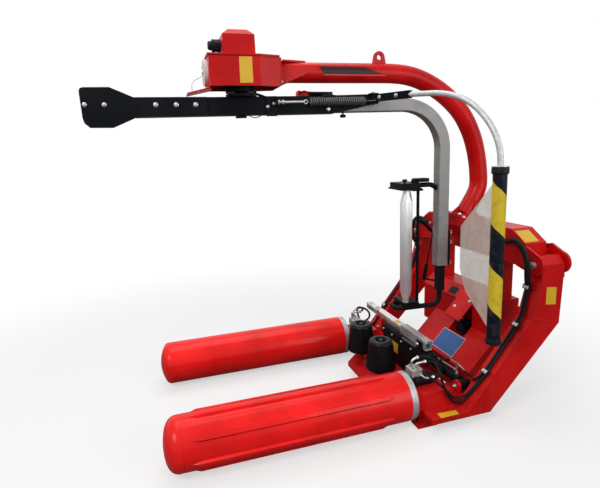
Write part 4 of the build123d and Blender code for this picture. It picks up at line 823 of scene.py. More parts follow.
def helix_line(start: Vector, end: Vector, radius: float, turns: float, steps: int = 16) -> list[Vector]:
    """Points of a coil between two places.

    Args:
        start: centre of one end.
        end: centre of the other.
        radius: of the coil's middle line.
        turns: how many.
        steps: points a turn.

    Returns:
        The points.
    """
    axis = end - start
    place = axis.to_track_quat("Z", "Y").to_matrix()
    count = int(turns * steps)
    points = []
    for index in range(count + 1):
        angle = 2 * math.pi * turns * index / count
        spoke = Vector((radius * math.cos(angle), radius * math.sin(angle), 0))
        points.append(start + axis * (index / count) + place @ spoke)
    return points


# ---------------------------------------------------------------- sub-assemblies


@dataclass
class Drums:
    """The two drums that carry the bale, with the bolts of their rings."""

    x: float = 0.572
    z: float = 0.177
    ring_back: float = 0.948
    ring_radius: float = 0.167
    bolt_circle: float = 0.148
    bolts: int = 8
    radius: float = 0.168
    tip_y: float = -0.707
    dome: tuple[Pair, ...] = ((0, 0), (0.004, 0.055), (0.012, 0.095), (0.024, 0.126), (0.040, 0.148),
                              (0.058, 0.161), (0.078, 0.1672))
    wall: tuple[Pair, ...] = ((0.090, 0), (0.110, 0), (0.110, 0.002), (0.114, 0.002), (0.114, 0), (1.611, 0))
    rib_turns: tuple[float, ...] = (33.8, 85.2, 136.7, 188.1, 239.5, 290.9, 342.4)
    rib_height: float = 0.0150
    rib_foot: float = 0.019
    rib_crest: float = 0.012
    rib_sunk: float = 0.004
    rib_ends: Pair = (-0.548, 0.782)
    rib_taper: float = 0.055
    rib_point: float = 0.04

    def build(self) -> None:
        """Finish the drums and set their ring bolts."""
        dress(Finish.DRUM_RED, "drum_far_shell")
        dress(Finish.ZINC, "drum_near_ring", "drum_far_ring")
        for side, sign in SIDES:
            heads = Shape(f"drum_{side}_ring_bolts")
            x, reach = sign * self.x, self.bolt_circle
            for c, s in circle(self.bolts, 0.8 * math.pi / self.bolts):
                heads.hexagon((x + reach * c, self.ring_back - 0.001, self.z + reach * s), BACK, 0.008, 0.004)
            heads.done(Finish.STEEL, f"drum_{side}")
            top = self.z + self.ring_radius
            Shape(f"drum_{side}_ring_clip").brick(
                (x - 0.014, self.ring_back - 0.036, top - 0.003), (x + 0.014, self.ring_back - 0.010, top + 0.004)
            ).done(Finish.STEEL, f"drum_{side}", 0.0012)
        self._near()

    def _near(self) -> None:
        """The near drum with its pressed ribs, which have flat crests and pointed ends."""
        profile = [*self.dome, *((along, self.radius - sunk) for along, sunk in self.wall), (self.wall[-1][0], 0)]
        Shape("drum_near_plain").turned_profile((self.x, self.tip_y, self.z), BACK, profile, 128).done(
            Finish.DRUM_RED, "drum_near", replaces="drum_near_shell")
        ribs = Shape("drum_near_ribs")
        start, end = self.rib_ends
        for turn in self.rib_turns:
            angle = math.radians(turn)
            out = Vector((math.cos(angle), 0, math.sin(angle)))
            side = Vector((-math.sin(angle), 0, math.cos(angle)))
            rings = []
            for y, share in ((start, self.rib_point), (start + self.rib_taper, 1.0), (end - self.rib_taper, 1.0),
                             (end, self.rib_point)):
                foot, crest = self.rib_foot * share, self.rib_crest * share
                base, top = self.radius - self.rib_sunk, self.radius + self.rib_height * share
                rings.append([Vector((self.x, y, self.z)) + out * reach + side * shift
                              for reach, shift in ((base, -foot), (top, -crest), (top, crest), (base, foot))])
            ribs.skin(rings)
        ribs.done(Finish.DRUM_RED, "drum_near", 0.002, 25.0)


@dataclass
class DrumDrive:
    """The hydraulic motor of one drum with its valve block and pipes."""

    side: str
    sign: int
    motor: Triple = (0.534, 1.020, 0.254)
    motor_radius: float = 0.048
    motor_profile: tuple[Pair, ...] = (
        (0, 0), (0, 0.98), (0.014, 1), (0.016, 0.86), (0.050, 0.86), (0.052, 0.98), (0.064, 0.98), (0.066, 0.88),
        (0.112, 0.88), (0.114, 0.98), (0.130, 0.98), (0.134, 0.8), (0.176, 0.72), (0.180, 0.6), (0.180, 0))
    screw_share: float = 0.8
    screw_ends: Pair = (0.010, 0.126)
    block: tuple[Triple, ...] = ((0.468, 1.000, 0.286), (0.560, 1.086, 0.342))
    unions: tuple[Triple, ...] = ((0.492, 1.022, 0.016), (0.538, 1.052, 0.014))
    union: tuple[Pair, ...] = ((0, 0.012), (0.010, 0.012), (0.011, 0.008))
    union_bore: float = 0.008
    collar: tuple[Pair, ...] = ((0, 0), (0, 0.0125), (0.014, 0.0125), (0.014, 0))
    plug: Pair = (0.500, 1.066)
    elbows: tuple[tuple[Triple, ...], ...] = (
        ((0.520, 1.016, 0.338), (0.522, 1.014, 0.378), (0.526, 1.022, 0.412), (0.532, 1.066, 0.424)),
        ((0.545, 1.040, 0.338), (0.545, 1.036, 0.374), (0.545, 1.050, 0.388), (0.545, 1.118, 0.388)),
        ((0.558, 1.066, 0.306), (0.570, 1.078, 0.292), (0.574, 1.110, 0.268), (0.574, 1.168, 0.276)))
    hoses: tuple[tuple[Triple, ...], ...] = (
        ((0.532, 1.062, 0.424), (0.548, 1.100, 0.430), (0.562, 1.160, 0.410), (0.574, 1.214, 0.362),
         (0.580, 1.226, 0.318), (0.578, 1.205, 0.284), (0.574, 1.160, 0.275)),
        ((0.545, 1.112, 0.388), (0.560, 1.150, 0.394), (0.620, 1.152, 0.402), (0.676, 1.138, 0.380),
         (0.698, 1.150, 0.310), (0.700, 1.180, 0.225), (0.700, 1.225, 0.152), (0.704, 1.270, 0.117),
         (0.716, 1.312, 0.128), (0.730, 1.352, 0.182), (0.748, 1.412, 0.262), (0.758, 1.455, 0.322)))

    def build(self) -> None:
        """Make the motor, valve block, fittings and pipes."""
        body, sign = f"arm_{self.side}", self.sign
        (x, y, z), r = self.motor, self.motor_radius
        motor = Shape(f"{body}_motor").turned_profile(
            (sign * x, y, z), BACK, [(along, r * share) for along, share in self.motor_profile], 40)
        reach = self.screw_share * r
        for c, s in circle(4, math.pi / 4):
            screw = [(x + reach * c, y + along, z + reach * s) for along in self.screw_ends]
            motor.bar(*sided(sign, screw), 0.006, 12)
        motor.done(Finish.BLACK_PLASTIC, body, replaces=f"arm_{self.side}_drum_motor")
        low, high = (list(corner) for corner in self.block)
        top = high[2]
        low[0], high[0] = sorted((sign * low[0], sign * high[0]))
        Shape(f"{body}_valve_block").brick(low, high).done(Finish.CAST, body, 0.003)
        fittings = Shape(f"{body}_valve_fittings")
        for px, py, height in self.unions:
            fittings.turned_profile((sign * px, py, top), UP, [
                *self.union, (height, self.union_bore), (height, 0)], 6)
        fittings.hexagon((sign * self.plug[0], self.plug[1], top), UP, 0.009, 0.006)
        for route in self.elbows:
            points = sided(sign, route)
            fittings.hose(points, 0.0085)
            for start, after in ((points[0], points[1]), (points[-1], points[-2])):
                fittings.turned_profile(start, after - start, self.collar, 6)
        fittings.done(Finish.STEEL, body)
        hoses = Shape(f"{body}_drive_hoses")
        for route in self.hoses:
            hoses.hose(sided(sign, route), 0.009)
        hoses.done(Finish.RUBBER, body)


@dataclass
class RollerArms:
    """The two hinged arms and what is fixed to them."""

    outer_x: float = 0.806
    inner_x: float = 0.676
    side_sign: tuple[Pair, ...] = ((1.895, 0.790), (1.980, 0.780), (1.980, 0.905), (1.895, 0.915))
    shelf_sign: tuple[Pair, ...] = ((0.745, 1.084), (0.800, 1.078), (0.800, 1.219), (0.755, 1.222))
    shelf_z: float = 0.1048
    pin_nuts: tuple[tuple[float, ...], ...] = (
        (0.756, 1.811, 1.066, -1, 0.019), (0.756, 2.105, 1.066, 1, 0.019),
        (0.600, 1.318, 0.185, -1, 0.011), (0.600, 1.492, 0.185, 1, 0.011))
    carrier_bolts: tuple[Triple, ...] = ((0.470, 1.030, 0.110), (0.470, 1.030, 0.190), (0.470, 1.350, 0.110))
    clamps: tuple[tuple[float, ...], ...] = (
        (0.716, 1.8341, 0.895, 15.1), (0.738, 1.7286, 0.632, 39.2), (0.744, 1.4807, 0.328, 39.2))
    jacket: tuple[Triple, ...] = ((-0.034, -0.0295, -0.017), (0.034, -0.006, 0.017))
    cover: tuple[Triple, ...] = ((-0.022, -0.0325, -0.012), (0.022, -0.0295, 0.012))
    carrier_weld: tuple[Pair, ...] = ((1.470, 0.141), (1.306, 0.141), (1.245, 0.219), (1.015, 0.219))
    knee_weld: tuple[Pair, ...] = ((1.781, 0.703), (2.010, 0.646))
    cap_weld: tuple[Pair, ...] = ((0.678, 0.968), (0.678, 1.068), (0.727, 1.118), (0.755, 1.118), (0.804, 1.068),
                                  (0.804, 0.968))
    cap_weld_y: Pair = (1.8545, 2.0415)

    def build(self) -> None:
        """Finish both arms and add their signs, pins, clamps and welds."""
        for side, sign in SIDES:
            body = f"arm_{side}"
            dress(Finish.RED, f"{body}_beam", f"{body}_carrier")
            dress(Finish.ZINC, f"{body}_pins")
            dress(Finish.RUBBER, f"{body}_hoses")
            DrumDrive(side, sign).build()
            face = [(self.outer_x + 0.0008, y, z) for y, z in self.side_sign]
            shelf = [(x, y, self.shelf_z) for x, y in self.shelf_sign]
            for name, corners in (("side", face), ("shelf", shelf)):
                Shape(f"{body}_{name}_sign").panel(sided(sign, corners)[::sign], 0.0008).done(Finish.SIGN, body)
            self._fasteners(body, sign)
            self._clamps(body, sign)
            self._welds(body, sign)

    def _fasteners(self, body: str, sign: int) -> None:
        """Nuts on the hinge pin, the carrier's bolts and the ears' retainers.

        Args:
            body: the arm's body.
            sign: 1 on the near side, -1 on the far side.
        """
        nuts = Shape(f"{body}_fasteners")
        hinge, ears = self.pin_nuts[:2], self.pin_nuts[2:]
        for x, y, z, facing, radius in hinge:
            nuts.hexagon((sign * x, y, z), (0, facing, 0), radius, 0.006)
        for x, y, z in self.carrier_bolts:
            nuts.hexagon((sign * x, y, z), (-sign, 0, 0), 0.010, 0.007)
        for x, y, z, facing, radius in ears:
            nuts.hexagon((sign * x, y, z), (0, facing, 0), radius, 0.006)
        nuts.done(Finish.STEEL, body)

    def _clamps(self, body: str, sign: int) -> None:
        """The black jackets of the hose clamps, with their steel covers and screws.

        Args:
            body: the arm's body.
            sign: 1 on the near side, -1 on the far side.
        """
        jackets, covers = Shape(f"{body}_clamp_jackets"), Shape(f"{body}_clamp_covers")
        for x, y, z, lean in self.clamps:
            place = Matrix.Translation((sign * x, y, z)) @ Matrix.Rotation(-math.radians(lean), 4, "X")
            jackets.brick(*self.jacket, place)
            covers.brick(*self.cover, place)
            covers.hexagon(place @ Vector((0, self.cover[0][1], 0)), place.to_3x3() @ Vector(AHEAD), 0.008, 0.006)
        jackets.done(Finish.BLACK_PLASTIC, body, 0.002)
        covers.done(Finish.STEEL, body)

    def _welds(self, body: str, sign: int) -> None:
        """Weld beads where the carrier and the cap plates meet the beam.

        Args:
            body: the arm's body.
            sign: 1 on the near side, -1 on the far side.
        """
        bead = Shape(f"{body}_welds")
        bead.pipe([(sign * (self.inner_x - 0.001), y, z) for y, z in self.carrier_weld], 0.004, 8)
        bead.pipe([(sign * (self.outer_x - 0.0005), y, z) for y, z in self.knee_weld], 0.0035, 8)
        for y in self.cap_weld_y:
            bead.pipe([(sign * x, y, z) for x, z in self.cap_weld], 0.0025, 6)
        bead.done(Finish.RED, body)


@dataclass
class HingeHose:
    """The wrapped bundle of hoses that runs from the girder to an arm."""

    side: str
    sign: int
    radius: float = 0.0200
    wrap_pitch: float = 0.019
    wrap_share: float = 0.62
    gap_radius: float = 0.88
    route: tuple[Triple, ...] = (
        (0.480, 1.804, 1.192), (0.540, 1.800, 1.194), (0.622, 1.774, 1.230), (0.702, 1.770, 1.182),
        (0.750, 1.774, 1.090), (0.746, 1.778, 1.010), (0.716, 1.812, 0.958), (0.716, 1.816, 0.918))

    def build(self) -> None:
        """Make the bundle and the spiral round it."""
        line = smooth_line(sided(self.sign, self.route), 12)
        turns = sum((high - low).length for low, high in zip(line, line[1:])) / self.wrap_pitch
        dense = [low.lerp(high, share / 4) for low, high in zip(line, line[1:]) for share in range(4)]

        def ribbed(share: float) -> float:
            """Radius of the wrapped bundle at a share of its length."""
            return self.radius * (1.0 if (share * turns) % 1.0 < self.wrap_share else self.gap_radius)

        piece = Shape(f"hinge_bundle_{self.side}").pipe([*dense, line[-1]], ribbed, 16).done(
            Finish.RUBBER, "", replaces=f"hinge_hose_{self.side}")
        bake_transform(piece)


@dataclass
class ArmCylinder:
    """The cylinder across the machine, with its ports and pipes."""

    y: float = 1.405
    z: float = 0.185
    radius: float = 0.036
    head_x: float = -0.520
    base_x: float = 0.552
    across: tuple[Pair, ...] = ((-0.450, 0.018), (-0.450, 0.026), (-0.426, 0.028), (-0.320, 0.014), (-0.10, 0.014),
                                (0.30, 0.014), (0.462, 0.026), (0.502, 0.028), (0.512, 0.018))
    silver: tuple[Triple, ...] = ((0, -0.066, 0.128), (0, -0.030, 0.104), (0, 0, 0.080), (0.016, 0.026, 0.056),
                                  (0.030, 0.046, 0.026))
    black: tuple[Triple, ...] = (
        (0, -0.060, 0.124), (0, -0.110, 0.142), (-0.010, -0.150, 0.128), (-0.050, -0.140, 0.070),
        (-0.120, -0.080, 0.030), (-0.200, -0.020, 0.022), (-0.260, 0, 0.012))
    feed: tuple[Triple, ...] = ((0.540, 1.448, 0.250), (0.600, 1.470, 0.232), (0.660, 1.440, 0.245),
                                (0.700, 1.400, 0.265), (0.730, 1.425, 0.300), (0.738, 1.452, 0.330))

    def build(self) -> None:
        """Finish the cylinder and add its gland, ports and pipes."""
        dress(Finish.BLACK, "cylinder_barrel")
        dress(Finish.CHROME, "cylinder_rod")
        r, body = self.radius, "cylinder_barrel"
        Shape("cylinder_gland").turned_profile((self.head_x + 0.046, self.y, self.z), (-1, 0, 0), [
            (0, r), (0, r + 0.004), (0.040, r + 0.004), (0.046, r - 0.002), (0.046, r - 0.010)], 40).done(
            Finish.BLACK, body)
        ports = Shape("cylinder_ports")
        top, port_x = self.z + r, self.base_x - 0.040
        for x in (self.head_x + 0.070, port_x):
            ports.turned_profile((x, self.y, top - 0.003), UP, [
                (0, 0.013), (0.014, 0.013), (0.015, 0.009), (0.024, 0.009), (0.024, 0)], 6)
        ports.hose([(x, self.y, top + lift) for x, lift in self.across], 0.006)
        ports.pipe([(port_x, self.y, top), (port_x, self.y, top + 0.078)], 0.008)
        port = Vector((port_x, self.y, top))
        ports.hose([port + Vector(shift) for shift in self.silver], 0.0085)
        ports.done(Finish.STEEL, body)
        Shape("cylinder_hose").hose([port + Vector(shift) for shift in self.black], 0.009).done(Finish.RUBBER, body)
        Shape("cylinder_feed_hose").hose(self.feed, 0.008).done(Finish.RUBBER, "arm_near")


@dataclass
class Girder:
    """The upper girder, pedestal and posts."""

    sign_slope: tuple[Pair, ...] = ((0.553, 1.2702), (0.654, 1.2050))
    sign_lift: Pair = (0.000654, 0.0010056)
    sign_y: Pair = (1.836, 1.956)
    clamp_screw: Triple = (0.448, 1.7870, 1.192)
    foot_bolts: tuple[Pair, ...] = ((-0.12, 1.725), (-0.12, 1.870), (0.12, 1.725), (0.12, 1.870))
    foot_top: float = 1.322
    post_x: float = 0.362
    seams: tuple[Triple, ...] = ((0.045, 1.851, 1.034), (0.045, 1.969, 1.034), (0.046, 1.851, 0.7115))

    def build(self) -> None:
        """Finish the girder and add signs, clamps' screws and seams."""
        dress(Finish.RED, "upper_girder", "boom_pedestal", "posts", "top_link_ears")
        for side, sign in SIDES:
            (ax, az), (bx, bz) = ((x + self.sign_lift[0], z + self.sign_lift[1]) for x, z in self.sign_slope)
            front, back = self.sign_y
            corners = [(ax, front, az), (bx, front, bz), (bx, back, bz), (ax, back, az)]
            Shape(f"girder_sign_{side}").panel(sided(sign, corners)[::sign], 0.001).done(Finish.SIGN, "frame")
            HingeHose(side, sign).build()
        screws = Shape("girder_screws")
        for _, sign in SIDES:
            screws.hexagon(*sided(sign, [self.clamp_screw]), AHEAD, 0.008, 0.005)
        for x, y in self.foot_bolts:
            screws.hexagon((x, y, self.foot_top), UP, 0.013, 0.009)
        screws.done(Finish.STEEL, "frame")
        seams = Shape("girder_seams")
        for x in (-self.post_x, self.post_x):
            for half, y, z in self.seams:
                seams.pipe([(x - half, y, z), (x + half, y, z)], 0.004, 8)
        seams.done(Finish.RED, "frame")


@dataclass
class Base:
    """The back beam, ramp, its cover and valve, and the tongue."""

    label_x: Pair = (0.006, 0.277)
    label_y: Pair = (1.528, 1.652)
    ramp_drop: float = 1.299
    label_lift: float = 0.0012
    rim: float = 0.004
    rim_sunk: float = 0.0004
    slanted: Triple = (0, -1, 1)
    apron: tuple[Triple, ...] = ((0.200, 1.395, 0.094), (0.455, 1.502, 0.100))
    beam_plate: tuple[Triple, ...] = ((-0.100, 1.7455, 0.6345), (0.0, 1.7455, 0.6345), (0.0, 1.7945, 0.6835),
                                      (-0.100, 1.7945, 0.6835))
    cover_bolts: tuple[Triple, ...] = ((0.093, 1.679, 0.5755), (0.200, 1.7425, 0.639))
    cover_holes: tuple[Triple, ...] = ((0.090, 1.7402, 0.6378), (0.198, 1.6797, 0.5773))
    hole: tuple[Pair, ...] = ((0, 0.006), (0.0006, 0.006), (0.0006, 0))
    valve_bolt: Triple = (0.144, 1.7245, 0.478)
    edges: tuple[tuple[Triple, Triple, float], ...] = (
        ((0.516, 1.502, 0.207), (0.516, 1.735, 0.440), 0.004),
        ((-0.25, 1.504, 0.2045), (0.52, 1.504, 0.2045), 0.0045),
        ((-0.45, 1.7365, 0.6255), (0.045, 1.7365, 0.6255), 0.003),
        ((0.243, 1.7365, 0.6255), (0.45, 1.7365, 0.6255), 0.003))
    link: Triple = (0.4125, 2.110, 0.560)
    link_half: float = 0.045
    bush: tuple[Pair, ...] = ((0, 0.0165), (0, 0.024), (0.004, 0.024), (0.005, 0.022), (0.005, 0.0165))
    stand_pin: Triple = (0.362, 1.920, 0.240)
    pin_half: float = 0.058
    pin_head: tuple[Pair, ...] = ((0, 0.014), (0.006, 0.014), (0.006, 0))
    head_from: float = 0.050

    def build(self) -> None:
        """Finish the base and set its label, bolts and small plates."""
        dress(Finish.RED, "back_beam", "ramp", "ramp_cover", "ramp_sill", "tongue", "parking_stands",
              "lower_link_ears")
        dress(Finish.BLACK_PLASTIC, "ramp_valve")
        Shape("ramp_apron").brick(*self.apron).done(Finish.RED, "frame", 0.001)
        self._label()
        Shape("beam_plate").panel(self.beam_plate, 0.0015).done(Finish.BLACK_PLASTIC, "frame", 0.0006)
        bolts = Shape("cover_bolts")
        for place in self.cover_bolts:
            bolts.hexagon(place, self.slanted, 0.010, 0.007)
        bolts.hexagon(self.valve_bolt, UP, 0.013, 0.006).done(Finish.STEEL, "frame")
        holes = Shape("cover_holes")
        for place in self.cover_holes:
            holes.turned_profile(place, self.slanted, self.hole, 16)
        holes.done(Finish.BLACK_PLASTIC, "frame")
        edges = Shape("ramp_edges")
        for start, end, radius in self.edges:
            edges.pipe([start, end], radius, 8)
        edges.done(Finish.RED, "frame")
        self._links()

    def _links(self) -> None:
        """The bushes of the lower links and the pins of the parking stands."""
        bushes, pins = Shape("link_bushes"), Shape("stand_pins")
        x, y, z = self.link
        for centre in (-x, x):
            for side in (-1, 1):
                bushes.turned_profile((centre + side * self.link_half, y, z), (side, 0, 0), self.bush, 28)
        bushes.done(Finish.STEEL, "frame")
        x, y, z = self.stand_pin
        for centre in (-x, x):
            pins.bar((centre - self.pin_half, y, z), (centre + self.pin_half, y, z), 0.008)
            pins.turned_profile((centre + self.head_from, y, z), (1, 0, 0), self.pin_head, 20)
        pins.done(Finish.STEEL, "frame")

    def _label(self) -> None:
        """The blank blue label on the ramp, with its pale rim."""
        (x0, x1), (y0, y1) = self.label_x, self.label_y
        corners = [(x, y - self.label_lift, y - self.ramp_drop + self.label_lift)
                   for x, y in ((x0, y0), (x1, y0), (x1, y1), (x0, y1))]
        Shape("ramp_label").panel(corners, 0.001).done(Finish.BLUE, "frame")
        rim = []
        for x, y, z in corners:
            slope = self.rim if y > y0 else -self.rim
            rim.append((x + (self.rim if x > x0 else -self.rim), y + self.rim_sunk + slope, z - self.rim_sunk + slope))
        Shape("ramp_label_rim").panel(rim, 0.0006).done(Finish.PALE_SIGN, "frame")


@dataclass
class Cones:
    """The bale's two end stops, with the caps of their posts."""

    x: float = 0.180
    y: float = 0.950
    top: float = 0.426
    cap: tuple[Pair, ...] = ((0, 0.052), (0.004, 0.051), (0.006, 0.047), (0.006, 0.040), (0.002, 0.037),
                             (0.002, 0.020), (0.008, 0.018), (0.008, 0))

    def build(self) -> None:
        """Finish the cones and set their caps."""
        dress(Finish.CONE, "cone_near", "cone_far")
        for side, sign in SIDES:
            Shape(f"cone_{side}_cap").turned_profile((sign * self.x, self.y, self.top - 0.002), UP, self.cap, 48).done(
                Finish.CONE, f"cone_{side}")


@dataclass
class Cutter:
    """The film cutter: its arm, blade, label patches and release lever."""

    near_x: float = 0.420
    far_x: float = -0.570
    y: float = 1.222
    z: float = 0.434
    half_width: float = 0.029
    half_height: float = 0.023
    blade_end: float = 0.050
    blade_z: Pair = (-0.018, 0.012)
    tooth_z: float = -0.027
    teeth: int = 52
    side_plate: tuple[Triple, ...] = ((-0.046, 1.1705, 0.214), (0.052, 1.1725, 0.300))
    lever: tuple[Triple, ...] = ((-0.225, 1.172, 0.364), (-0.228, 1.170, 0.392), (-0.252, 1.168, 0.442),
                                 (-0.300, 1.168, 0.477))
    rail_bolts: tuple[float, ...] = (-0.20, -0.05, 0.10, 0.25)
    spring: tuple[Triple, ...] = ((0.330, 1.170, 0.397), (0.130, 1.170, 0.387))

    def build(self) -> None:
        """Finish the cutter and add its plates, blade and lever."""
        dress(Finish.ALUMINIUM, "cutter_arm")
        dress(Finish.BLACK, "cutter_base")
        y, z, top = self.y, self.z, self.z + self.half_height
        for name, finish, low, high, height in (
                ("cutter_plate", Finish.SIGN, (-0.070, -0.022), (-0.010, 0.020), 0.0012),
                ("cutter_patches", Finish.WHITE_SIGN, (-0.430, -0.020), (-0.372, 0.018), 0.0010),
                ("cutter_tags", Finish.SIGN, (-0.546, -0.018), (-0.500, 0.016), 0.0010)):
            Shape(name).brick((low[0], y + low[1], top), (high[0], y + high[1], top + height)).done(
                finish, "cutter_arm")
        Shape("cutter_side_plate").brick(*self.side_plate).done(Finish.SIGN, "frame")
        self._blade()
        Shape("cutter_end").brick((self.far_x - 0.004, y - 0.030, z - 0.024),
                                  (self.far_x, y + 0.030, z + 0.024)).done(Finish.BLACK_PLASTIC, "cutter_arm", 0.001)
        Shape("cutter_lever").hose(self.lever, 0.009).done(Finish.RED, "frame")
        bolts = Shape("cutter_bolts")
        for side in (-1, 1):
            bolts.hexagon((self.near_x - 0.062, y + side * 0.059, z), (0, side, 0), 0.013, 0.008)
        for x in self.rail_bolts:
            bolts.hexagon((x, y - 0.047, 0.344), AHEAD, 0.008, 0.006)
        bolts.done(Finish.STEEL, "frame")
        coil = helix_line(*map(Vector, self.spring), 0.010, 26, 12)
        Shape("cutter_spring").pipe(coil, 0.0022, 8).done(Finish.SPRING, "frame")

    def _blade(self) -> None:
        """The toothed blade on the arm's front."""
        blade = Shape("cutter_blade")
        start, end, face = self.far_x + 0.010, self.blade_end, self.y - self.half_width - 0.002
        low, high = (self.z + lift for lift in self.blade_z)
        blade.panel([(start, face, low), (end, face, low), (end, face, high), (start, face, high)], 0.002)
        for index in range(self.teeth):
            x0 = start + (end - start) * index / self.teeth
            x1 = x0 + (end - start) / self.teeth
            blade.panel([(x0, face, low), ((x0 + x1) / 2, face, self.z + self.tooth_z), (x1, face, low)], 0.0016)
        blade.done(Finish.STEEL, "cutter_arm")


@dataclass
class Boom:
    """The swan-necked tube with its foot, eye and end gussets."""

    radius: float = 0.070
    flange_low: float = 1.322
    flange_top: float = 1.344
    flange_half: float = 0.096
    foot_y: float = 1.795
    foot_bolts: tuple[Pair, ...] = ((-0.080, -0.080), (-0.080, 0.080), (0.080, -0.080), (0.080, 0.080))
    end_bolts: tuple[Pair, ...] = ((-0.1, 2.360), (-0.1, 2.500), (0.1, 2.360), (0.1, 2.500))
    end_y: float = 0.262
    end_z: float = 2.438
    end_plate: tuple[Triple, ...] = ((-0.115, 0.250, 2.342), (0.115, 0.262, 2.516))
    plate: float = 0.012
    rib_back: float = 0.045
    rib_rise: float = 0.110
    rib_toe: float = 0.012
    gusset: tuple[Pair, ...] = ((0.0, 2.342), (0.286, 2.459), (0.0, 2.471))
    crown_length: float = 0.200
    eye_at: Pair = (1.038, 2.552)
    eye_radii: Pair = (0.018, 0.044)
    eye_foot: float = 2.500
    eye_taper: float = 0.23
    eye_half: float = 0.010
    neck: tuple[Pair, ...] = (
        (0.262, 2.438), (0.620, 2.438), (1.000, 2.440), (1.160, 2.440), (1.290, 2.427), (1.420, 2.387),
        (1.545, 2.325), (1.660, 2.245), (1.756, 2.155), (1.828, 2.050), (1.885, 1.930), (1.922, 1.800),
        (1.943, 1.670), (1.948, 1.560), (1.920, 1.490), (1.868, 1.410), (1.812, 1.330))

    def build(self) -> None:
        """Build the boom and bolt its foot and its end."""
        half, low, top = self.flange_half, self.flange_low, self.flange_top
        boom = Shape("boom_neck").hose([(0.0, y, z) for y, z in self.neck], self.radius, 48)
        boom.brick((-half, self.foot_y - half, low), (half, self.foot_y + half, top)).brick(*self.end_plate)
        self._ribs(boom)
        boom.done(Finish.BOOM_RED, "frame", 0.0015, replaces="boom_tube")
        self._eye()
        bolts = Shape("boom_bolts")
        for x, y in self.foot_bolts:
            bolts.hexagon((x, self.foot_y + y, top), UP, 0.013, 0.010)
        for x, z in self.end_bolts:
            bolts.hexagon((x, self.end_y, z), BACK, 0.010, 0.007)
        bolts.done(Finish.STEEL, "frame")
        reach = self.radius + 0.0005
        Shape("boom_welds").pipe([(reach * c, self.end_y + 0.001, self.end_z + reach * s)
                                  for c, s in circle(40, closed=True)], 0.004, 8).done(Finish.RED, "frame")

    def _ribs(self, boom: Shape) -> None:
        """The ribs at the foot and the gussets at the housing.

        Args:
            boom: the shape that they join.
        """
        half, top, r, end, thick = self.flange_half, self.flange_top, self.radius, self.end_y, self.plate
        front, middle, x = self.foot_y - half, self.foot_y + self.rib_back, thick / 2
        crest, toe = top + self.rib_rise, top + self.rib_toe
        boom.panel([(x, front, top), (x, middle, top), (x, middle, crest), (x, front, toe)], thick)
        side_rib = [(half, middle, top), (half, middle, toe), (r + 0.002, middle + 0.02, crest),
                    (0.05, middle + 0.02, crest), (0.05, middle, top)]
        gusset = [(r, end + along, z) for along, z in self.gusset]
        for _, sign in SIDES:
            boom.panel(sided(sign, side_rib)[::sign], thick)
            boom.panel(sided(sign, gusset)[::sign], thick)
        crown, far_end = self.end_z + r + thick / 2, end + self.crown_length
        boom.panel([(-r, end, crown), (r, end, crown), (r / 3, far_end, crown), (-r / 3, far_end, crown)], thick)

    def _eye(self) -> None:
        """The lifting eye, with a foot that widens to the tube."""
        hole, rim = self.eye_radii
        y, z = self.eye_at
        spokes = []
        for c, s in circle(40):
            reach = rim
            if s < 0:
                reach = (z - self.eye_foot) / -s
                if abs(c) + self.eye_taper * s > 0:
                    reach = min(reach, rim / (abs(c) + self.eye_taper * s))
            spokes.append((c, s, reach))
        half = self.eye_half
        Shape("boom_eye").skin([[(x, y + (reach if outer else hole) * c, z + (reach if outer else hole) * s)
                                 for c, s, reach in spokes]
                                for x, outer in ((-half, False), (-half, True), (half, True), (half, False))],
                               capped=False, closed=True).done(Finish.RED, "frame", 0.002)


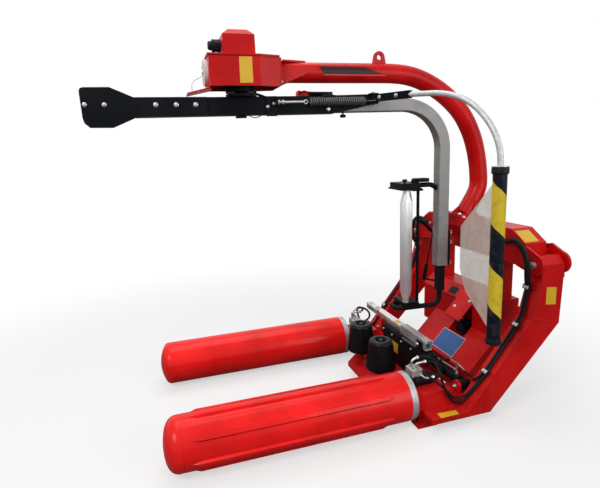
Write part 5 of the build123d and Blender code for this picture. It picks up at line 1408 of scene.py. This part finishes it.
@dataclass
class DriveHead:
    """The housing over the satellite, its cover, motor and sign."""

    front_y: float = -0.222
    outer_x: float = 0.151
    cover: tuple[tuple[float, ...], ...] = (
        (2.528, 0.110, -0.124, 0.092), (2.656, 0.110, -0.121, 0.090), (2.692, 0.074, -0.078, 0.048))
    motor: Triple = (0.040, -0.128, 2.593)
    motor_profile: tuple[Pair, ...] = (
        (0, 0.040), (0.012, 0.041), (0.013, 0.034), (0.036, 0.034), (0.037, 0.040), (0.052, 0.040), (0.054, 0.030),
        (0.072, 0.028), (0.080, 0.022), (0.080, 0))
    screw_circle: float = 0.034
    screw_ends: Pair = (0.008, 0.056)
    disc_z: float = 2.429
    disc_circle: float = 0.066
    sign: tuple[Pair, ...] = ((-0.029, 2.347), (0.057, 2.349), (0.057, 2.510), (-0.027, 2.509))
    wire: tuple[Triple, ...] = ((0.030, -0.240, 2.412), (0.030, -0.282, 2.392), (0.030, -0.322, 2.372),
                                (0.030, -0.329, 2.345), (0.030, -0.328, 2.306))

    def build(self) -> None:
        """Finish the housing and build what is fixed to it."""
        dress(Finish.RED, "drive_housing", "wire_deflector")
        Shape("head_cover").skin([[(-x, y0, z), (x, y0, z), (x, y1, z), (-x, y1, z)] for z, x, y0, y1 in self.cover]
                                 ).done(Finish.RED, "frame", 0.003, 25.0, replaces="drive_cover")
        dress(Finish.BLACK, "slew_bearing")
        dress(Finish.PALE, "end_disc")
        x, y, z = self.motor
        motor, reach = Shape("slew_drive").turned_profile(self.motor, AHEAD, self.motor_profile, 36), self.screw_circle
        for c, s in circle(6, math.radians(15)):
            motor.bar(*((x + reach * c, y - along, z + reach * s) for along in self.screw_ends), 0.005, 12)
        motor.done(Finish.BLACK_PLASTIC, "frame", replaces="slew_motor")
        for side, sign in SIDES:
            corners = [(self.outer_x, py, pz) for py, pz in self.sign]
            Shape(f"housing_sign_{side}").panel(sided(sign, corners)[::sign], 0.0010).done(Finish.SIGN, "frame")
        bolts, face, reach = Shape("housing_bolts"), self.front_y - 0.022, self.disc_circle
        for c, s in circle(8):
            bolts.hexagon((reach * c, face, self.disc_z + reach * s), AHEAD, 0.006, 0.004)
        bolts.hexagon((0, face, self.disc_z), AHEAD, 0.014, 0.007).done(Finish.STEEL, "frame")
        Shape("guide_wire").hose(self.wire, 0.0030, 10).done(Finish.STEEL, "frame")


@dataclass
class Satellite:
    """The turning beam with its paddle, film tube, valve and hoses."""

    half_width: float = 0.052
    paddle: tuple[Pair, ...] = (
        (-0.235, 2.152), (-0.235, 2.272), (-0.693, 2.275), (-0.832, 2.338), (-0.985, 2.338), (-1.002, 2.333),
        (-1.010, 2.318), (-1.010, 2.290), (-1.006, 2.150), (-0.998, 2.120), (-0.968, 2.091), (-0.831, 2.088),
        (-0.678, 2.152))
    washers: tuple[Triple, ...] = ((-0.309, 2.223, 0.010), (-0.432, 2.224, 0.010), (-0.560, 2.226, 0.010),
                                   (-0.869, 2.231, 0.009), (-0.985, 2.233, 0.009))
    screws: tuple[tuple[float, ...], ...] = (
        (0.012, 0.168, 2.203, 0.008, 0.006), (0.012, 0.213, 2.222, 0.008, 0.006),
        (0.008, 0.600, 2.240, 0.010, 0.007), (0.008, 0.600, 2.180, 0.010, 0.007))
    valve_hose: tuple[Triple, ...] = ((0.028, 0.404, 2.290), (0.056, 0.400, 2.298), (0.072, 0.420, 2.298),
                                      (0.070, 0.470, 2.292), (0.062, 0.540, 2.292), (0.040, 0.600, 2.294))
    handle: tuple[Triple, ...] = ((0.030, 0.041, 2.153), (0.030, 0.056, 2.136), (0.030, 0.108, 2.134),
                                  (0.030, 0.129, 2.153))
    knob_at: Triple = (0.0, 0.726, 2.158)
    knob: tuple[Pair, ...] = ((0, 0.006), (0.012, 0.006), (0.014, 0.020), (0.030, 0.022), (0.034, 0.018), (0.034, 0))
    latch: tuple[Triple, ...] = ((-0.030, -0.044, 2.136), (0.030, 0.027, 2.151))
    valve: tuple[Triple, ...] = ((-0.018, 0.386, 2.272), (0.028, 0.466, 2.306))
    coil_places: tuple[Triple, ...] = ((0.005, 0.404, 2.306), (0.005, 0.444, 2.306))
    coil: tuple[Pair, ...] = ((0, 0.014), (0.004, 0.014), (0.006, 0.008), (0.008, 0.008), (0.008, 0))
    manifold: tuple[Triple, ...] = ((-0.028, 0.562, 2.272), (0.040, 0.640, 2.300))
    link_places: tuple[Triple, ...] = ((-0.012, 0.466, 2.292), (0.016, 0.466, 2.292))
    link: tuple[Pair, ...] = ((0, 0.011), (0.016, 0.011), (0.017, 0.008), (0.094, 0.008), (0.096, 0.010), (0.098, 0))

    def build(self) -> None:
        """Finish the satellite and add its bolts, blade, valve, hoses and knob."""
        dress(Finish.BLACK, "satellite_shaft", "satellite_beam", "flap_strip")
        dress(Finish.TUBE_ZINC, "film_arm_tube")
        bolts, side, out = Shape("beam_bolts"), turned(1, 0, 0), self.half_width + 0.014
        for y, z, r in self.washers:
            bolts.turned_profile(turned(out, y, z), side, [(0, r + 0.005), (0.003, r + 0.005), (0.003, 0)], 24)
            bolts.hexagon(turned(out + 0.003, y, z), side, r, 0.008)
        for lift, y, z, radius, height in self.screws:
            bolts.hexagon(turned(self.half_width + lift, y, z), side, radius, height)
        bolts.done(Finish.STEEL, "satellite")
        Shape("paddle_blade").panel(parked((out, y, z) for y, z in self.paddle), 0.014).done(
            Finish.BLACK, "satellite", 0.0015, 25.0, replaces="paddle")
        self._valve()
        self._hoses()
        Shape("film_tube_knob").turned_profile(turned(*self.knob_at), DOWN, self.knob, 24).brick(
            *self.latch, PARK_TURN).done(Finish.BLACK_PLASTIC, "satellite")

    def _valve(self) -> None:
        """The valve on the beam, with its coils and sockets."""
        valve = Shape("beam_valve").brick(*self.valve, PARK_TURN)
        for place in parked(self.coil_places):
            valve.turned_profile(place, UP, self.coil, 20)
        valve.done(Finish.RED, "satellite", 0.0015, replaces="safety_valve")
        block = Shape("beam_manifold").brick(*self.manifold, PARK_TURN)
        for place in parked(self.link_places):
            block.turned_profile(place, turned(*BACK), self.link, 12)
        block.done(Finish.BLACK_PLASTIC, "satellite", 0.001)

    def _hoses(self) -> None:
        """The hoses that lie along the beam."""
        hoses = Shape("beam_hoses")
        for x, low in ((-0.036, 2.244), (-0.020, 2.261)):
            hoses.hose(parked([
                (x + 0.02, 0.100, 2.296), (x - 0.008, 0.150, 2.286), (-0.066, 0.206, low + 0.006),
                (-0.0685, 0.260, low), (-0.0685, 0.390, low), (-0.062, 0.450, low + 0.014),
                (x, 0.530, 2.284), (x, 0.640, 2.283), (x, 0.760, 2.266), (x + 0.01, 0.860, 2.262),
                (x + 0.014, 0.990, 2.258), (x + 0.016, 1.100, 2.256), (x + 0.016, 1.240, 2.250)]), 0.0075)
        hoses.hose(parked(self.valve_hose), 0.006).hose(parked(self.handle), 0.003)
        hoses.done(Finish.RUBBER, "satellite")


@dataclass
class SafetyArm:
    """The sprung bar with its striped sleeve, flap and spring."""

    pivot: Pair = (0.078, 0.930)
    post: Pair = (0.934, 1.345)
    spring_x: float = 0.095
    spring_z: float = 2.228
    coil: Pair = (0.455, 0.858)
    coil_radius: float = 0.0245
    coil_turns: float = 26.0
    wire: float = 0.0056
    hook: float = 0.0046
    rod: Pair = (0.222, 0.420)
    rod_nuts: Pair = (0.233, 0.262)
    rod_eye: Pair = (0.429, 0.012)
    lever_z: float = 2.247
    lever_half: float = 0.025
    lever_thin: float = 0.0165
    lever_end: float = 0.326
    lever_drop: float = 0.007
    crank: float = 0.042
    cheek: tuple[Pair, ...] = ((0.570, 2.152), (0.660, 2.152), (0.975, 2.217), (0.975, 2.280), (0.570, 2.272))
    cheek_x: float = 0.0585
    fork: tuple[Pair, ...] = ((2.209, 2.217), (2.274, 2.282))
    fork_x: Pair = (0.0525, 0.103)
    fork_half: float = 0.030
    pin: Pair = (2.204, 2.286)
    lever_bolts: tuple[Pair, ...] = ((0.068, 2.247), (0.213, 2.244))
    rod_nut: tuple[Pair, ...] = ((0, 0), (0, 0.016), (0.014, 0.016), (0.014, 0))
    sleeve_caps: tuple[tuple[float, tuple[Pair, ...]], ...] = (
        (1.728, ((0, 0.0400), (0, 0.0430), (0.006, 0.0485), (0.034, 0.0485), (0.041, 0.044), (0.043, 0.030),
                 (0.043, 0.016))),
        (0.698, ((0, 0.030), (0, 0.0460), (0.018, 0.0465), (0.036, 0.0410), (0.036, 0.0400))))
    ring_z: float = 1.7705
    ring: tuple[Pair, ...] = ((0, 0.016), (0, 0.0470), (0.004, 0.0470), (0.004, 0.016))
    strip_at: Pair = (0.069, 1.527)
    rivets: tuple[float, ...] = (1.640, 1.241, 0.875)
    rivet: tuple[Pair, ...] = ((0, 0.007), (0.0025, 0.006), (0.0035, 0))
    rivet_reach: float = 0.058
    links: tuple[float, ...] = (0.97, 1.14, 1.22)
    link_at: Pair = (0.033, 1.599)
    link_radius: float = 0.010
    bow: tuple[Pair, ...] = (
        (0.318, 2.2385), (0.360, 2.236), (0.450, 2.230), (0.560, 2.220), (0.670, 2.190), (0.765, 2.138),
        (0.848, 2.058), (0.908, 1.970), (0.942, 1.880), (0.951, 1.810), (0.951, 1.740))

    @property
    def away(self) -> Vector:
        """Direction from the pivot to the post, before the satellite's park angle."""
        return Vector((self.post[0] - self.pivot[0], self.post[1] - self.pivot[1], 0)).normalized()

    def along(self, reach: float, z: float, aside: float = 0.0) -> Vector:
        """A place on the arm.

        Args:
            reach: distance from the pivot.
            z: height.
            aside: distance to the arm's outer side.

        Returns:
            The place.
        """
        away = self.away
        return turned(self.pivot[0] + away.x * reach + away.y * aside,
                      self.pivot[1] + away.y * reach - away.x * aside, z)

    def build(self) -> None:
        """Make the arm with its bracket, spring, caps and rings."""
        dress(Finish.SLEEVE, "safety_sleeve")
        dress(Finish.SHEET, "safety_flap")
        self._bracket()
        self._lever()
        Shape("safety_bow").hose([self.along(reach, z) for reach, z in self.bow], 0.0175, 24, 10).done(
            Finish.BAR_ZINC, "safety_arm", replaces="safety_bar")
        self._spring()
        self._rod()
        self._caps()
        self._rings()

    def _bracket(self) -> None:
        """The tapered cheek on the beam's end and the fork round the lever's pin."""
        bracket = Shape("safety_bracket").panel(parked((self.cheek_x, y, z) for y, z in self.cheek), 0.006)
        (x0, x1), y0, y1 = self.fork_x, self.pivot[1] - self.fork_half, self.pivot[1] + self.fork_half
        for low, high in self.fork:
            bracket.brick((x0, y0, low), (x1, y1, high), PARK_TURN)
        bracket.bar(*(turned(*self.pivot, z) for z in self.pin), 0.008)
        bracket.done(Finish.BLACK, "satellite", 0.001, replaces="safety_pivot")
        nut_z = self.fork[-1][1]
        Shape("pivot_nut").hexagon(turned(*self.pivot, nut_z), UP, 0.013, 0.009).done(Finish.STEEL, "satellite")

    def _lever(self) -> None:
        """The flat lever that carries the bar, with its boss and crank pin."""
        half, end, drop = self.lever_thin, self.lever_end, self.lever_drop
        low, high = self.lever_z - self.lever_half, self.lever_z + self.lever_half
        Shape("safety_crank").panel([
            self.along(0.014, low, half), self.along(end, low - drop, half), self.along(end, high - drop, half),
            self.along(0.014, high, half)], 2 * half).bar(
            turned(*self.pivot, low), turned(*self.pivot, high), 0.0185, 32).bar(
            self.along(self.crank, self.spring_z - 0.014), self.along(self.crank, high + 0.006), 0.007).done(
            Finish.BLACK, "safety_arm", 0.001, replaces="safety_lever")
        bolts, side = Shape("lever_bolts"), turned(self.away.y, -self.away.x, 0)
        for reach, z in self.lever_bolts:
            bolts.hexagon(self.along(reach, z, half), side, 0.011, 0.007)
        bolts.done(Finish.STEEL, "safety_arm")

    def _spring(self) -> None:
        """The coil spring with its hooks."""
        x, z = self.spring_x, self.spring_z
        start, end = (turned(x, y, z) for y in self.coil)
        crank, lead = self.along(self.crank, z), Vector((0.022, 0, 0))
        piece = Shape("tension_spring").pipe(
            helix_line(start, end, self.coil_radius, self.coil_turns, 16), self.wire, 10).hose(
            [end + lead, end.lerp(crank, 0.15), end.lerp(crank, 0.6), crank + Vector((0.006, -0.006, 0)), crank],
            self.hook, 10).hose([start + lead, turned(x, 0.446, z), turned(x, 0.430, z)], self.hook, 10).done(
            Finish.SPRING, "", replaces="safety_spring")
        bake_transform(piece)

    def _rod(self) -> None:
        """The tension rod with its nuts and eye."""
        x, z = self.spring_x, self.spring_z
        rod = Shape("tension_rod").bar(*(turned(x, y, z) for y in self.rod), 0.0085)
        for y in self.rod_nuts:
            rod.turned_profile(turned(x, y, z), turned(*BACK), self.rod_nut, 6)
        y, size = self.rod_eye
        rod.pipe([turned(x, y + size * c, z + size * s) for c, s in circle(20, closed=True)], 0.005, 8)
        rod.done(Finish.STEEL, "satellite")

    def _caps(self) -> None:
        """The sleeve's end caps and the plated ring on the upper one."""
        x, y, _ = turned(*self.post, 0.0)
        caps = Shape("sleeve_caps")
        for z, profile in self.sleeve_caps:
            caps.turned_profile((x, y, z), UP, profile, 40)
        caps.done(Finish.BLACK_PLASTIC, "safety_arm")
        Shape("sleeve_ring").turned_profile((x, y, self.ring_z), UP, self.ring, 40).done(Finish.STEEL, "safety_arm")

    def _rings(self) -> None:
        """The flap's rivets and the links on the strip that the flap hooks to."""
        toward = (turned(*self.strip_at, 0.0) - turned(*self.post, 0.0)).normalized()
        rivets, side = Shape("flap_rivets"), Vector((toward.y, -toward.x, 0))
        for z in self.rivets:
            spot = turned(*self.post, z) + toward * self.rivet_reach
            for facing in (side, -side):
                rivets.turned_profile(spot + facing * 0.002, facing, self.rivet, 16)
        rivets.done(Finish.STEEL, "safety_arm")
        links, reach = Shape("strip_links"), self.link_radius
        x, y = self.link_at
        for z in self.links:
            links.pipe([turned(x, y + reach * c, z + reach * s) for c, s in circle(20, closed=True)], 0.0028, 8)
        links.done(Finish.STEEL, "satellite")


@dataclass
class Stretcher:
    """The film pre-stretcher with its two rollers."""

    rollers: tuple[tuple[str, Triple], ...] = (("outer", (0.0, 1.229, 0.0465)), ("inner", (-0.128, 1.302, 0.0395)))
    low_z: float = 0.668
    top_z: float = 1.5716
    straight: Pair = (0.775, 1.474)
    flutes: int = 60
    flute_depth: float = 0.0011
    knobs: tuple[Triple, ...] = ((0.010, 1.210, 1.624), (0.010, 1.285, 1.624))
    knob: tuple[Pair, ...] = ((0, 0.006), (0.010, 0.006), (0.012, 0.018), (0.026, 0.019), (0.030, 0.015), (0.030, 0))

    def build(self) -> None:
        """Finish the stretcher and build its fluted rollers and knobs."""
        dress(Finish.BLACK, "stretcher_low_frame", "stretcher_top_frame", "film_rest_arm")
        for name, place in self.rollers:
            self._roller(f"stretch_roller_{name}", *place)
        knobs = Shape("stretcher_knobs")
        for place in parked(self.knobs):
            knobs.turned_profile(place, UP, self.knob, 24)
        knobs.done(Finish.BLACK_PLASTIC, "satellite")

    def _roller(self, node: str, x: float, y: float, radius: float) -> None:
        """A roller with fine flutes along its straight part.

        Args:
            node: the solid that it stands for.
            x: of its axis, before the satellite's park angle.
            y: of its axis, before the satellite's park angle.
            radius: over the flutes.
        """
        centre, neck = turned(x, y, 0.0), min(0.026, radius - 0.010)
        low, high = self.straight
        rings = []
        for z, size, depth in (
                (self.low_z, neck, 0), (self.low_z + 0.020, neck, 0), (low, radius, self.flute_depth),
                (high, radius, self.flute_depth), (self.top_z - 0.020, neck, 0), (self.top_z, neck, 0)):
            sizes = (size, size - depth) * self.flutes
            rings.append([(centre.x + reach * c, centre.y + reach * s, z)
                          for reach, (c, s) in zip(sizes, circle(2 * self.flutes))])
        Shape(f"{node}_fluted").skin(rings).done(Finish.ALUMINIUM, node, smooth=25.0, replaces=node)


# ---------------------------------------------------------------- studio


@dataclass
class Studio:
    """The floor, lights and camera of the photograph."""

    camera_at: Triple = (3.17375, -0.58287, 1.91255)
    yaw: float = math.radians(16.73)
    pitch: float = math.radians(10.46)
    roll: float = math.radians(-2.18)
    lens: float = 27.16
    shift: Pair = (0.0023, -0.019)
    floor_size: float = 40.0
    floor_cells: int = 8
    clear_from: float = 1.6
    clear_to: float = 4.5
    clear_near: float = 0.55
    floor_seen: Colour = (0.19, 0.19, 0.19)
    floor_lit: Colour = (0.82, 0.82, 0.82)
    ambient: float = 0.38
    lamps: tuple[tuple[str, Triple, Triple, float, float], ...] = (
        ("key_light", (3.2, -3.4, 5.2), (0.0, 0.6, 1.0), 2.6, 200.0),
        ("fill_light", (5.0, 3.4, 2.6), (0.0, 0.8, 1.0), 3.2, 104.0),
        ("top_light", (-1.6, 0.4, 5.6), (0.0, 0.8, 1.0), 4.0, 130.0))

    def build(self) -> None:
        """Set the camera, floor, world and lamps."""
        self._camera()
        self._floor()
        self._world()
        for lamp in self.lamps:
            self._lamp(*lamp)

    def _camera(self) -> None:
        """Place the camera where the photograph was taken."""
        look = Vector((-math.cos(self.yaw) * math.cos(self.pitch), math.sin(self.yaw) * math.cos(self.pitch),
                       -math.sin(self.pitch)))
        right = Vector((math.sin(self.yaw), math.cos(self.yaw), 0))
        up = right.cross(look)
        across = right * math.cos(self.roll) + up * math.sin(self.roll)
        above = up * math.cos(self.roll) - right * math.sin(self.roll)
        data = bpy.data.cameras.new("photo_camera")
        data.sensor_width, data.lens = 36.0, self.lens
        data.shift_x, data.shift_y = self.shift
        data.clip_start, data.clip_end = 0.05, 200.0
        camera = bpy.data.objects.new("photo_camera", data)
        bpy.context.scene.collection.objects.link(camera)
        basis = Matrix((across, above, -look)).transposed().to_4x4()
        camera.matrix_world = Matrix.Translation(self.camera_at) @ basis
        bpy.context.scene.camera = camera

    def _floor(self) -> None:
        """A pale floor that shows white and keeps the shadow."""
        plane, cells = Shape("floor"), self.floor_cells
        steps = [self.floor_size * (index / cells - 0.5) for index in range(cells + 1)]
        grid = [[plane.mesh.verts.new((x, y, 0.0)) for y in steps] for x in steps]
        for i in range(cells):
            for j in range(cells):
                plane.mesh.faces.new([grid[i][j], grid[i + 1][j], grid[i + 1][j + 1], grid[i][j + 1]])
        floor = plane.done(Finish.PALE_SIGN, "")
        tree = ShaderTree("studio_floor")
        seen = tree.make("ShaderNodeLightPath", output="Is Camera Ray")
        tree.set(Base_Color=tree.blend(seen, self.floor_seen, self.floor_lit), Roughness=0.9, Specular_IOR_Level=0.1)
        away = tree.make("ShaderNodeVectorMath", {"operation": "LENGTH"}, {0: tree.place()}, output="Value")
        white = tree.make("ShaderNodeEmission", None, {"Color": (1.0, 1.0, 1.0), "Strength": 1.0})
        shown = tree.make("ShaderNodeMixShader", None, {
            0: seen * away.ramp(self.clear_from, self.clear_to, self.clear_near, 1.0),
            1: Wire(tree, tree.shader.outputs["BSDF"]), 2: white})
        tree.feed(tree.nodes["Material Output"].inputs["Surface"], shown)
        floor.data.materials.clear()
        floor.data.materials.append(tree.material)

    def _world(self) -> None:
        """Even pale light all round, white to the camera and to reflections."""
        world = bpy.data.worlds.new("studio")
        bpy.context.scene.world = world
        world.use_nodes = True
        nodes, links = world.node_tree.nodes, world.node_tree.links
        background = nodes["Background"]
        background.inputs["Color"].default_value = (1.0, 1.0, 1.0, 1.0)
        path = nodes.new("ShaderNodeLightPath")
        seen = path.outputs["Is Camera Ray"]
        for ray in ("Is Transmission Ray", "Is Glossy Ray"):
            either = nodes.new("ShaderNodeMath")
            either.operation = "MAXIMUM"
            links.new(seen, either.inputs[0])
            links.new(path.outputs[ray], either.inputs[1])
            seen = either.outputs[0]
        mapped = nodes.new("ShaderNodeMapRange")
        links.new(seen, mapped.inputs["Value"])
        mapped.inputs["To Min"].default_value = self.ambient
        mapped.inputs["To Max"].default_value = 1.0
        links.new(mapped.outputs[0], background.inputs["Strength"])

    def _lamp(self, name: str, place: Point, aim: Point, size: float, power: float) -> None:
        """A soft square lamp.

        Args:
            name: of the lamp.
            place: where it hangs.
            aim: what it points at.
            size: of its side, in metres.
            power: in watts.
        """
        data = bpy.data.lights.new(name, "AREA")
        data.energy, data.size = power, size
        lamp = bpy.data.objects.new(name, data)
        bpy.context.scene.collection.objects.link(lamp)
        direction = Vector(aim) - Vector(place)
        lamp.matrix_world = Matrix.Translation(place) @ direction.to_track_quat("-Z", "Y").to_matrix().to_4x4()


def main() -> None:
    """Build every sub-assembly."""
    Studio().build()
    for part in (Drums(), RollerArms(), ArmCylinder(), Girder(), Base(), Cones(), Cutter(), Boom(), DriveHead(),
                 Satellite(), SafetyArm(), Stretcher()):
        part.build()
        LOG.info("built %s", type(part).__name__)
    bpy.context.scene.view_settings.view_transform = "Standard"


if __name__ == "__main__":
    main()
